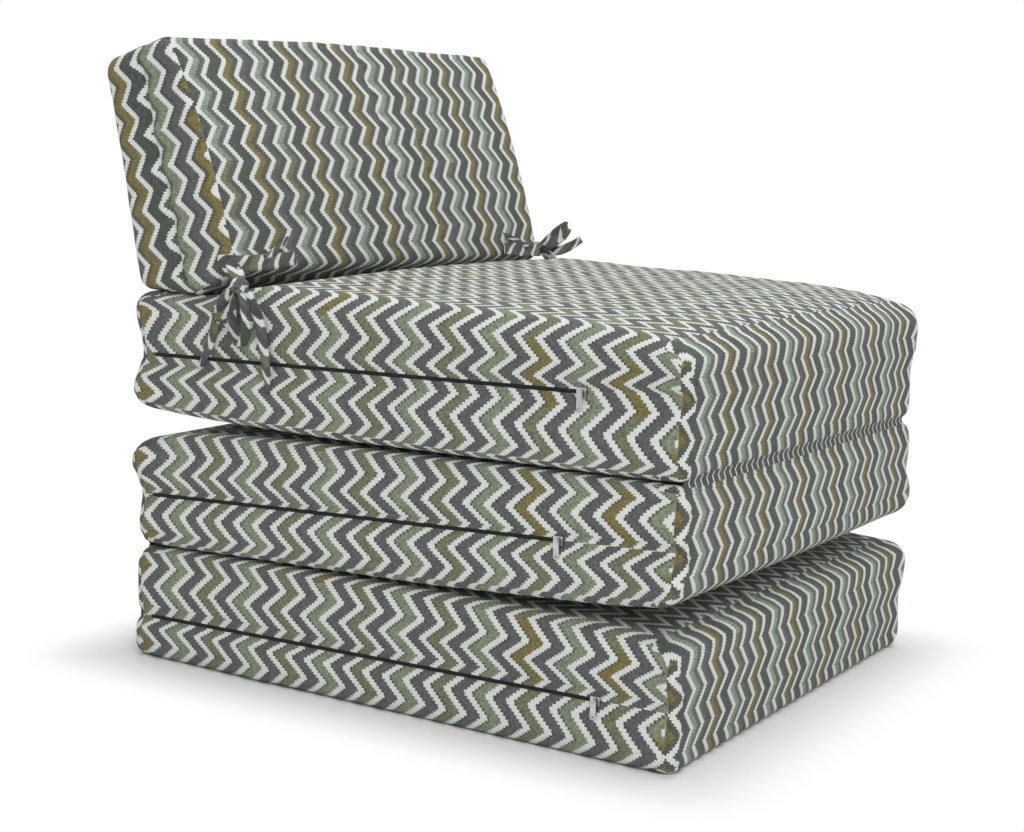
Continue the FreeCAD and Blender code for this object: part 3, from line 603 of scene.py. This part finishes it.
front_fold = Vector((0, -0.320717, 0.2811986))
top_place = Matrix.Translation(front_fold + Vector((0, 0.330, 0.002)))
top_zip = ((0.074, 0.053), 0.521)


def seat_crown(front, rear):
    """Crown of the seat, which begins in front of where the back cushion rests."""
    start, rise, front_reach, height = 0.078, 0.100, 0.170, 0.023
    share = min(max((rear - start) / rise, 0.0), 1.0)
    return height * end_fall(front, front_reach) * share * share * (3 - 2 * share)


seat_cushion(
    "top_cushion", top_place, 0.122, (FREE_ROUND, FREE_ROUND, FREE_ROUND, SEWN_ROUND), seat_crown,
    lambda front, rear: wedge_crown(front, rear, 0.45, 0.014), *top_zip, seed=29.8, free_top=True,
)

# FOLD LINES
# Along each fold a strip of the cover's cloth joins the edges of two cushions. Its bands are coloured
# with dark yarns as painted shade for the groove of the fold. Each white line of the weave that runs
# into it shows as a small light dash in that painted dark.

shaded_fold_cloth = cloth_material(
    "fold cloth with painted shade",
    (0.0140, 0.20, 0.0400, 0.0, 0.40, 0.3, 0.0),
    (DARK_YARN, DARK_GREEN_YARN, DARK_YARN, SLATE_YARN), DARK_YARN,
)


def fold_cloth(name, line, inward, lower_tilt, upper_tilt, cad_strip):
    """A thin strip bent into a V across a fold. inward is the way from the fold into the stack."""
    half_width, count = 0.318, 128
    reach, wall, depth = 0.0088, 0.0007, 0.0085
    downward, upward = math.radians(-45) + lower_tilt, math.radians(45) + upper_tilt
    arms = [(reach * share, downward) for share in (1.0, 0.72, 0.44, 0.2)] + [(0.0, 0.0)]
    arms += [(reach * share, upward) for share in (0.2, 0.44, 0.72, 1.0)]
    centre = [(inward * (depth * (1 - d / reach) + d * math.cos(a)), d * math.sin(a)) for d, a in arms]
    outline = [(y - inward * wall / 2, z) for y, z in centre]
    outline += [(y + inward * wall / 2, z) for y, z in reversed(centre)]
    places = np.linspace(-half_width, half_width, count)
    points = np.array([(x, line[1] + y, line[2] + z) for x in places for y, z in outline])
    around = len(outline)
    faces, laid = [], []
    for i in range(count - 1):
        for j in range(around):
            faces.append(tube_face(i, j, around))
            laid.append([(places[v // around], 0.004 + outline[v % around][1]) for v in faces[-1]])
    for end in (0, count - 1):
        closing = tube_end(end * around, around)
        faces += closing
        laid += [[(places[end], 0.004)] * 4] * len(closing)
    piece = cloth_mesh(name, points, np.array(faces), laid, [0] * len(faces), [shaded_fold_cloth])
    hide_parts(cad_strip)
    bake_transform(piece)


fold_cloth("front_fold_cloth", front_fold, 1, -TILT, 0.0, "front_fold_strip")
fold_cloth("rear_fold_cloth", rear_fold, -1, 0.0, TILT, "rear_fold_strip")

# BACK CUSHION
# A leaning wedge of foam on the rear of the seat. Its wrap runs over the front, top, rear and
# underside, and a panel with a gathered crease down its middle is sewn into each end.

# Slopes and lengths of the rear and top, and the corners from the lower rear edge by the nose
back_lean, top_slope, rear_height, top_depth = math.radians(14.4), math.radians(21), 0.245, 0.094
top_rear = (rear_height * math.sin(back_lean), rear_height * math.cos(back_lean))
top_front = (top_rear[0] - top_depth * math.cos(top_slope),
             top_rear[1] + top_depth * math.sin(top_slope))
BACK_CORNERS = [(0.0, 0.0), (-0.074, 0.0), (-0.130, 0.030), top_front, top_rear]
BACK_ROUND, BACK_END_ROUND = 0.015, 0.012
FRONT_CROWN, WIDTH_CROWN, TOP_CROWN = 0.007, 0.005, 0.0025
NOSE = 2
back_place = Matrix.Translation((0, 0.337283, 0.4054986))


def back_section(x, steps):
    """The rounded outline at one place along the width, from the nose up the front and round."""
    inward = stand_back(HALF_WIDTH - abs(x), BACK_END_ROUND)
    swell = 1 - (x / HALF_WIDTH) ** 2
    swells = [0.0, 0.0, swell * WIDTH_CROWN, swell * TOP_CROWN, 0.0]
    corners = [Vector(c) for c in BACK_CORNERS]
    edges = []
    for i, corner in enumerate(corners):
        along = (corners[(i + 1) % 5] - corner).normalized()
        edges.append((corner + Vector((along.y, -along.x)) * (inward - swells[i]), along))
    met = []
    for i in range(5):
        (a, u), (b, v) = edges[i - 1], edges[i]
        met.append(a + u * (((b.x - a.x) * v.y - (b.y - a.y) * v.x) / (u.x * v.y - u.y * v.x)))
    arcs = []
    for i, corner in enumerate(met):
        before, after = (met[i - 1] - corner).normalized(), (met[(i + 1) % 5] - corner).normalized()
        half = before.angle(after) / 2
        centre = corner + (before + after).normalized() * (BACK_ROUND / math.sin(half))
        start, finish = (corner + way * (BACK_ROUND / math.tan(half)) for way in (before, after))
        spoke, turned = start - centre, (start - centre).angle_signed(finish - centre)
        arcs.append([centre + Matrix.Rotation(-turned * share / 8, 2) @ spoke for share in range(9)])
    paths = []
    for first, last in ((2, 3), (3, 4), (4, 0), (0, 2)):
        line = arcs[first][4:]
        corner = first
        while corner != last:
            following = (corner + 1) % 5
            start, finish = line[-1], arcs[following][0]
            bow = FRONT_CROWN if corner == NOSE else 0.0
            normal = Vector((-edges[corner][1].y, edges[corner][1].x))
            for share in np.linspace(0, 1, 40)[1:-1]:
                line.append(start.lerp(finish, share) + normal * bow * 4 * share * (1 - share))
            corner = following
            line += arcs[corner] if corner != last else arcs[corner][:5]
        paths.append(np.array([(p.x, p.y) for p in line]))
    ring = []
    for path, count in zip(paths, (steps[0], steps[1], steps[0], steps[1])):
        run = run_along(path)
        at = np.linspace(0, run[-1], count + 1)[:-1]
        ring += list(zip(np.interp(at, run, path[:, 0]), np.interp(at, run, path[:, 1])))
    return ring


back_steps = (60, 34)
back_stations = spread_stations(HALF_WIDTH, BACK_END_ROUND, 0.0160, 128)
back_rings = np.array([[(x, y, z) for y, z in back_section(x, back_steps)] for x in back_stations])
back_points, back_faces = closed_grid(back_rings, back_steps)
count, around = back_rings.shape[:2]
middle_ring = back_rings[count // 2]
back_run = run_along(np.vstack([middle_ring, middle_ring[:1]]))
end_index = int(np.argmin(abs(back_stations + HALF_WIDTH - 0.0060)))


def on_end_panel(point):
    """Place on an end panel's cloth, whose bands follow the lean."""
    _, y, z = point
    lean = math.radians(17)
    return y * math.cos(lean) - z * math.sin(lean) + 0.009, y * math.sin(lean) + z * math.cos(lean)


laid, kinds = [], []
for i in range(count - 1):
    panel = min(i, count - 2 - i) < end_index
    for j in range(around):
        if panel:
            laid.append([on_end_panel(back_rings[a, b % around]) for a, b in cell(i, j)])
        else:
            laid.append([(back_stations[a] + 0.004, back_run[b]) for a, b in cell(i, j)])
        kinds.append(1 if panel else 0)
for face in back_faces[len(laid):]:
    laid.append([on_end_panel(back_points[v]) for v in face])
    kinds.append(1)

back_wrap_cloth = cloth_material(
    "back wrap cloth",
    (0.0281, 0.29, 0.0385, 0.0190, 0.34, 0.25, 0.0),
    (SLATE_YARN, MINT_YARN, DARK_GREEN_YARN, OCHRE_YARN), OLIVE_YARN,
)
back_end_cloth = cloth_material(
    "back end cloth",
    (0.0236, 0.30, 0.0385, 0.0150, 0.22, 0.30, 0.0),
    (SLATE_YARN, SAGE_YARN, DARK_GREEN_YARN, OCHRE_YARN), OLIVE_YARN,
)
back_cloths = [back_wrap_cloth, back_end_cloth]
back_cushion = cloth_mesh("back_cushion", back_points, back_faces, laid, kinds, back_cloths)
mesh = back_cushion.data
normals = read_normals(mesh)
slack = wrinkles(back_points, 8.0, 41.0)
fine = wrinkles(back_points, 40.0, 47.0)
out = np.zeros(len(back_points))
body = count * around
columns = np.arange(around)
rear_start, rear_end = sum(back_steps), sum(back_steps) + back_steps[0] - 12
front_and_top = on_columns((columns > 4) & (columns < rear_start), count, back_points)
rear_face = on_columns((columns >= rear_start) & (columns < rear_end), count, back_points)
out += (front_and_top | rear_face) * (0.0024 * slack + 0.0007 * fine)
# Two faint tucks that run up the front and over the top
for tuck in (0.013, 0.087):
    bend = back_points[:, 0] - tuck - 0.004 * wrinkles(back_points * (0, 1, 1), 12.0, 3.0)
    out -= front_and_top * 0.0024 * bell(bend, 0.0034)
# The crease of each end panel, gathered where it meets the seat
cap = np.arange(len(back_points)) >= body
crease_low, crease_high = np.array([-0.066, 0.004]), np.array([0.016, 0.252])
direction = (crease_high - crease_low) / np.linalg.norm(crease_high - crease_low)
offset = back_points[:, 1:] - crease_low
along = offset @ direction
beside = offset @ np.array([direction[1], -direction[0]]) - 0.002 * np.sin(along / 0.021)
depth = 0.0048 + 0.0030 * bell(along, 0.040)
out -= cap * depth * bell(beside, 0.0040)
gathers = 0.0013 * np.sin(along / 0.0032 + 4 * slack) + 0.0010
out += cap * bell(np.abs(beside) - 0.010, 0.007) * gathers
out += cap * (0.0016 * slack + 0.0006 * fine)
sunk = np.zeros((count, around))
sunk[[end_index, count - 1 - end_index]] = 1
out[:body] -= 0.0012 * sunk.reshape(-1)
# The slot of the zip, low on the rear face
zip_up, zip_half = 0.040, 0.260
up_rear = back_points[:, 1] * math.sin(back_lean) + back_points[:, 2] * math.cos(back_lean) - zip_up
for half_height, end_margin, stand in ((0.0150, 0.004, 0.0002), (0.0020, 0.0, -0.0028)):
    on_zip = rear_face & (np.abs(back_points[:, 0]) < zip_half + end_margin)
    out = np.where(on_zip & (np.abs(up_rear) < half_height), stand, out)
moved = back_points + normals * out[:, None]
# The cushion has sagged towards its near end, so the far end of its top stands higher
upper = np.clip((back_points[:, 2] - 0.07) / 0.18, 0, 1)
moved[:, 2] += upper * (0.002 + 0.017 * (0.5 + back_points[:, 0] / HALF_WIDTH / 2))
mesh.vertices.foreach_set("co", moved.reshape(-1))
mesh.transform(back_place)
mesh.update()
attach(back_cushion, "back")
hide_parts("back_foam", "back_wrap_cover", "back_right_end_panel", "back_left_end_panel")

# TIES AND BOWS
# Folded strips of the cover's cloth. On each side one is sewn along the nose of the back cushion
# and round its end, and goes to a bow just under the nose, with short loops and two hanging ends.

tie_cloth = cloth_material(
    "tie cloth",
    (0.0270, 0.25, 0.0400, 0.0090, 0.34, 0.24, 0.0),
    (SLATE_YARN, DARK_GREEN_YARN, SLATE_YARN, OLIVE_YARN), OCHRE_YARN,
)
TIE_WIDTH, TIE_THICKNESS = 0.017, 0.0021


def smooth_line(route, spacing=0.0022):
    """Points close together on a smooth line through the route's points."""
    ends = np.vstack([2 * route[0] - route[1], route, 2 * route[-1] - route[-2]])
    line = []
    for k in range(1, len(ends) - 2):
        a, b, c, d = ends[k - 1:k + 3]
        count = max(2, int(np.linalg.norm((c - b)[:3]) / spacing))
        for t in np.arange(count) / count:
            line.append(0.5 * (2 * b + (c - a) * t + (2 * a - 5 * b + 4 * c - d) * t ** 2
                               + (3 * b - a - 3 * c + d) * t ** 3))
    return np.array(line + [route[-1]])


def ribbon_grid(route, cup, seed, slant):
    """Points, faces and cloth places of one folded tie along a route."""
    line = smooth_line(route)
    centres, sideways, wide = line[:, :3], line[:, 3:6], line[:, 6]
    forward = np.gradient(centres, axis=0)
    forward /= np.linalg.norm(forward, axis=1)[:, None]
    sideways = sideways - (sideways * forward).sum(1)[:, None] * forward
    sideways /= np.linalg.norm(sideways, axis=1)[:, None]
    face_out = np.cross(forward, sideways)
    run = run_along(centres)
    shape = []
    for angle in np.linspace(0, 2 * math.pi, 19)[:-1]:
        c, s = math.cos(angle), math.sin(angle)
        shape.append((0.5 * math.copysign(abs(c) ** 0.55, c), 0.5 * math.copysign(abs(s) ** 0.6, s)))
    rows = []
    for k in range(len(centres)):
        ripple = noise.noise(Vector((run[k] * 70 + seed, seed, 0)))
        row = []
        for w, h in shape:
            wave = 0.0006 * math.sin(7 * w + run[k] * 160 + seed)
            fold = cup * (4 * w * w - 0.5) + 0.0007 * ripple + wave
            thick = TIE_THICKNESS * (0.75 + 0.35 * (2 * abs(w)) ** 3)
            push = slant * w if k == len(centres) - 1 else 0.0
            row.append(centres[k] + sideways[k] * w * wide[k] + face_out[k] * (h * thick + fold)
                       + forward[k] * push * wide[k])
        rows.append(row)
    rows = np.array(rows)
    around = len(shape)
    faces, laid = [], []
    lie = np.cumsum([0] + [math.dist(shape[j], shape[(j + 1) % around]) for j in range(around)])
    for i in range(len(rows) - 1):
        for j in range(around):
            faces.append(tube_face(i, j, around))
            laid.append([(run[a] * 0.9 + lie[b] * 0.008 + seed, lie[b] * TIE_WIDTH)
                         for a, b in cell(i, j)])
    for end in (0, len(rows) - 1):
        closing = tube_end(end * around, around)
        faces += closing
        laid += [[(run[end] * 0.9 + seed, 0.0)] * 4] * len(closing)
    return rows.reshape(-1, 3), faces, laid


def tie_piece(name, strands, body, nodes):
    """One piece from several strands of tie."""
    points, faces, laid = [], [], []
    for strand in strands:
        more, those, places = ribbon_grid(*strand)
        start = sum(len(p) for p in points)
        points.append(more)
        faces += [tuple(v + start for v in face) for face in those]
        laid += places
    kinds = [0] * len(faces)
    piece = cloth_mesh(name, np.concatenate(points), np.array(faces), laid, kinds, [tie_cloth])
    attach(piece, body)
    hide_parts(*nodes)


def strand(side, route, across, widths, cup, seed, slant=0.0):
    """What ribbon_grid is given for a tie on one side.

    The route is (outward from the middle, y, z). It and the widths are in millimetres."""
    route = np.array(route) / 1000
    across = np.broadcast_to(np.array(across, float), route.shape)
    widths = np.broadcast_to(np.array(widths) / 1000, len(route))
    line = np.column_stack([route * (side, 1, 1), across * (side, 1, 1), widths])
    return line, cup, seed, slant


def ring_route(centre, radius, first, second):
    """A closed round route in the plane of two directions."""
    turn = np.linspace(0, 2 * math.pi, 13)[:, None]
    return centre + radius * (np.cos(turn) * first + np.sin(turn) * second)


for side_name, side in (("right", -1), ("left", 1)):
    knot = (344.5, 195, 422)
    tie_piece(side_name + "_nose_tie", [
        strand(side, [(232, 206.5, 447), (270, 205, 444.5), (305, 205, 444), (327, 207.5, 443.5),
                      (337.2, 216.5, 444), (338, 228.5, 444.5)],
               [(0, 0.25, 1)] * 3 + [(0, 0.1, 1)] * 3, [15, 17, 17.5, 17.5, 17, 15], 0.0006, 1.3),
        strand(side, [(230, 218, 469), (248, 212.5, 462), (270, 207, 454.5), (290, 204, 449)],
               (0, 0.25, 1), [3, 6, 7, 6], 0.0004, 5.2),
    ], "back", [side_name + "_back_tie"])
    tie_piece(side_name + "_tie_strap", [
        strand(side, [(340, 214, 444), (343, 206, 438), (344.5, 200, 430), knot],
               (0.2, 0.9, -0.4), [17, 16.5, 14, 11], 0.001, 2.4),
        strand(side, [(340, 208, 443), (344, 200, 437), (345.5, 195, 430), knot,
                      (342, 198.5, 408), (340, 200, 396)],
               (0.3, 0.9, 0.3), [15, 15, 13, 11, 12, 11], 0.001, 8.8),
    ], "top", [side_name + "_seat_tie"])
    # A loop that hangs down and one that lies across it
    loops = [
        ([knot, (348, 186, 408), (349, 180, 388), (349, 181, 370), (349, 188, 361),
          (348, 196, 372), (348, 200, 398), knot],
         (0.8, 0.35, 0.1), [9, 11, 12, 12.5, 12.5, 12, 11, 9], 0.001, 4.4),
        ([knot, (348, 198, 403), (353, 205, 392), (352, 218, 388), (345, 221, 386),
          (343, 211, 383), (344, 199, 395), knot],
         (0.75, 0.15, 0.6), [8, 10, 11, 11, 11, 10.5, 10, 8], 0.0007, 7.7),
    ]
    if side > 0:
        # The far bow also has a loop and a tail that stand out in front of the nose
        nose = (344.5, 217, 445)
        loops += [
            ([nose, (350, 206, 456), (354.5, 193, 469), (353.5, 183, 475), (348, 185, 464),
              (344, 199, 451), nose],
             (0.25, 0.35, 0.9), [10, 13, 15, 15.5, 15, 13, 10], 0.001, 13.1),
            ([nose, (347.5, 206, 442), (351, 190, 443), (355, 173, 451), (357, 161, 460)],
             (0.3, 0.2, 0.92), [10, 12.5, 13, 12, 10.5], 0.0009, 15.6),
        ]
    tie_piece(side_name + "_bow", [
        strand(side, ring_route(knot, 7.5, (0.75, 0, 0.66), (0.1, 0.99, 0.0)),
               (-0.66, 0, 0.75), 13.5, 0.0008, 3.3),
        strand(side, ring_route((346, 196.5, 419), 6, (0.8, 0.3, 0.5), (-0.3, 0.95, 0.0)),
               (-0.5, 0.1, 0.86), 11.5, 0.0008, 6.1),
        *[strand(side, *loop) for loop in loops],
    ], "top", [side_name + "_bow_knot", side_name + "_bow_loop"])
    tie_piece(side_name + "_bow_ends", [
        strand(side, [knot, (344, 182.3, 410.8), (342, 171, 391.5), (340.5, 165, 369.6),
                      (339.5, 161, 344.4), (340, 154.5, 315)],
               (0.12, 0.95, -0.3), [10, 11.5, 12, 11.5, 10.5, 4.5], 0.0016, 9.5, 0.5),
        strand(side, [knot, (344, 210, 412), (342.5, 219.3, 400), (340.5, 227.7, 375.3),
                      (339.5, 237.5, 346.6), (340, 247, 330)],
               (0.12, 0.9, 0.45), [10, 11.5, 11.5, 10.5, 8.5, 4], 0.0016, 11.9, -0.5),
    ], "top", [side_name + "_bow_long_tail", side_name + "_bow_short_tail"])

# ZIPS
# A woven tape with a moulded coil in the slot of each cover. A pressed slider runs on it, with a
# tumbled pull tab that has a small hole at its free end.


def finish_material(name, colour, metallic, rough, scale, bump_distance, weave=None):
    """A small part's finish: colour and roughness that vary, with a fine relief."""
    material, tree, surface = new_surface(name, {"Metallic": metallic})
    place = tree.nodes.new("ShaderNodeTexCoord").outputs["Object"]
    grain, wear = speckle(tree, place, scale, 4.0), speckle(tree, place, scale * 0.12)
    darker = tuple(c * 0.62 for c in colour[:3]) + (1,)
    share = ranged(tree, maths(tree, "ADD", grain, wear), 0.7, 1.3, 0.0, 1.0)
    height = grain
    if weave:
        given = {"Cloth": combined(tree, *list(parts_of(tree, place))[1:]), "Thread": weave}
        height = added(tree, "Group", given, node_tree=WEAVE).outputs["Height"]
    feed(tree, surface, {
        "Base Color": mixed(tree, share, darker, colour),
        "Roughness": ranged(tree, grain, 0.2, 0.8, rough + 0.10, rough - 0.08),
        "Normal": relief(tree, height, bump_distance, 0.6),
    })
    return material


tape_finish = finish_material(
    "zip tape weave", (0.020, 0.020, 0.021, 1), 0.0, 0.88, 900, 0.0003, weave=0.0006)
coil_finish = finish_material("zip coil", (0.010, 0.010, 0.011, 1), 0.0, 0.62, 700, 0.0001)
metal_finish = finish_material("tumbled zip metal", (0.66, 0.66, 0.65, 1), 1.0, 0.34, 1400, 0.00008)


def coil_teeth(owner, start, finish, outward):
    """The closed coil as the row of small bent teeth that shows."""
    start, finish, outward = Vector(start), Vector(finish), Vector(outward)
    forward = (finish - start).normalized()
    across = outward.cross(forward).normalized()
    pitch, lift = 0.0014, 0.00005
    outline = [(-0.00045, 0.0), (-0.00045, 0.0009), (-0.0002, 0.0013),
               (0.0002, 0.0013), (0.00045, 0.0009), (0.00045, 0.0)]
    points, faces = [], []
    for k in range(int((finish - start).length / pitch)):
        middle = start + forward * (pitch * (k + 0.5))
        lean = 0.00035 if k % 2 else -0.00035
        first = len(points)
        for width in (-0.00148, -0.0006, 0.0006, 0.00148):
            low = 0.7 if abs(width) > 0.001 else 1.0
            for u, h in outline:
                on_tape = middle + forward * (u + lean * width / 0.0015) + across * width
                points.append(on_tape + outward * (h * low + lift))
        for row in range(3):
            for c in range(6):
                a, d = first + row * 6, (c + 1) % 6
                faces.append((a + c, a + d, a + 6 + d, a + 6 + c))
        faces += [tuple(first + c for c in range(6)), tuple(first + 18 + c for c in range(6))]
    mesh = bpy.data.meshes.new(owner + "_zip_teeth")
    mesh.from_pydata([tuple(p) for p in points], [], faces)
    mesh.materials.append(coil_finish)
    piece = turned_out(owner + "_zip_teeth", mesh)
    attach(piece, owner)
    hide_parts(owner + "_zip_coil")


zip_lines = {}
zip_rear = HALF_LENGTH - ZIP_END_INSET
for owner, place, (heights, length) in (
    ("bottom", bottom_place, bottom_zip), ("middle", middle_place, middle_zip),
    ("top", top_place, top_zip),
):
    start, finish = (place @ Vector((DRAW_IN - HALF_WIDTH, y, seam_height(y, *heights, length)))
                     for y in (zip_rear - length, zip_rear))
    zip_lines[owner] = (start, finish, (-1, 0, 0))
rear_out = (0, math.cos(back_lean), -math.sin(back_lean))
back_zip_start = back_place @ Vector(
    (-zip_half, zip_up * math.sin(back_lean), zip_up * math.cos(back_lean)))
zip_lines["back"] = (back_zip_start, back_zip_start + Vector((2 * zip_half, 0, 0)), rear_out)
for owner, (start, finish, outward) in zip_lines.items():
    coil_teeth(owner, start, finish, outward)
    for part, material in (("tape", tape_finish), ("slider", metal_finish), ("pull", metal_finish)):
        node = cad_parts[owner + "_zip_" + part]
        node.data.materials.clear()
        node.data.materials.append(material)

# FLOOR AND BACKDROP
# A pale floor that keeps the soft shadow close to the cushions and fades to white around them.

FLOOR_HALF, SHADOW_REACH = 12, 0.125


def seen_directly(tree):
    """1 for what the camera sees itself, in gloss or through glass; 0 for light on the object."""
    rays = tree.nodes.new("ShaderNodeLightPath").outputs
    turned = maths(tree, "MAXIMUM", rays["Is Glossy Ray"], rays["Is Transmission Ray"])
    return maths(tree, "MAXIMUM", rays["Is Camera Ray"], turned)


floor_mesh = bpy.data.meshes.new("floor")
floor_mesh.from_pydata(
    [(FLOOR_HALF * a, FLOOR_HALF * b, 0) for a, b in ((-1, -1), (1, -1), (1, 1), (-1, 1))],
    [], [(0, 1, 2, 3)])
floor = in_scene("floor", floor_mesh)
pale, tree, surface = new_surface("pale floor", {"Roughness": 0.9, "Specular IOR Level": 0.1})
calc = partial(maths, tree)
place = tree.nodes.new("ShaderNodeTexCoord").outputs["Object"]
tone = ranged(tree, speckle(tree, place, 3.0), 0.3, 0.7, 0.90, 0.92)
feed(tree, surface, {"Base Color": combined(tree, tone, tone, tone)})
split = parts_of(tree, place)
beyond = [
    calc("MAXIMUM", calc("SUBTRACT", calc("ABSOLUTE", split[axis]), half), 0.0)
    for axis, half in ((0, HALF_WIDTH), (1, HALF_LENGTH))
]
away = calc("SQRT", calc("ADD", *[calc("POWER", over, 2.0) for over in beyond]))
far = ranged(tree, away, 0.0, SHADOW_REACH, 0.0, 1.0, curve="SMOOTHSTEP")
glow = added(tree, "Emission", {"Color": (1, 1, 1, 1)})
whitened = calc("MULTIPLY", far, seen_directly(tree))
either = added(tree, "MixShader", {0: whitened, 1: surface.outputs[0], 2: glow.outputs[0]})
feed(tree, tree.nodes["Material Output"], {"Surface": either.outputs[0]})
floor_mesh.materials.append(pale)

world = bpy.data.worlds.new("studio")
bpy.context.scene.world = world
world.use_nodes = True
tree = world.node_tree
feed(tree, tree.nodes["Background"], {
    "Color": (1, 1, 1, 1), "Strength": ranged(tree, seen_directly(tree), 0.0, 1.0, 0.49, 1.0),
})

# LIGHT AND CAMERA
# Large soft lamps to the left of the camera and above, and the photograph's point of view.


def soft_lamp(name, location, target, size, energy):
    lamp = bpy.data.lights.new(name, "AREA")
    lamp.shape = "DISK"
    lamp.size = size
    lamp.energy = energy
    holder = in_scene(name, lamp)
    holder.location = location
    holder.rotation_euler = (Vector(target) - Vector(location)).to_track_quat("-Z", "Y").to_euler()


soft_lamp("key lamp", (-2.8, -2.1, 3.0), (0, 0, 0.3), 2.2, 66)
soft_lamp("top lamp", (0.4, 0.1, 3.4), (0, 0, 0.3), 2.4, 42)

yaw, pitch, roll = math.radians(-61.05), math.radians(8.27), math.radians(-3.59)
ahead = Vector((-math.sin(yaw) * math.cos(pitch), math.cos(yaw) * math.cos(pitch), -math.sin(pitch)))
level_right = Vector((math.cos(yaw), math.sin(yaw), 0))
down = ahead.cross(level_right)
right = level_right * math.cos(roll) + down * math.sin(roll)
down = down * math.cos(roll) - level_right * math.sin(roll)
lens = bpy.data.cameras.new("camera")
lens.sensor_fit = "HORIZONTAL"
lens.sensor_width = 36
photo_focal, photo_width = 1997.4, 1024  # pixels
lens.lens = photo_focal * lens.sensor_width / photo_width
camera = in_scene("camera", lens)
turn = Matrix((right, -down, -ahead)).transposed().to_4x4()
camera.matrix_world = Matrix.Translation((-2.0168, -1.0637, 0.6048)) @ turn
bpy.context.scene.camera = camera
bpy.context.scene.view_settings.view_transform = "Standard"
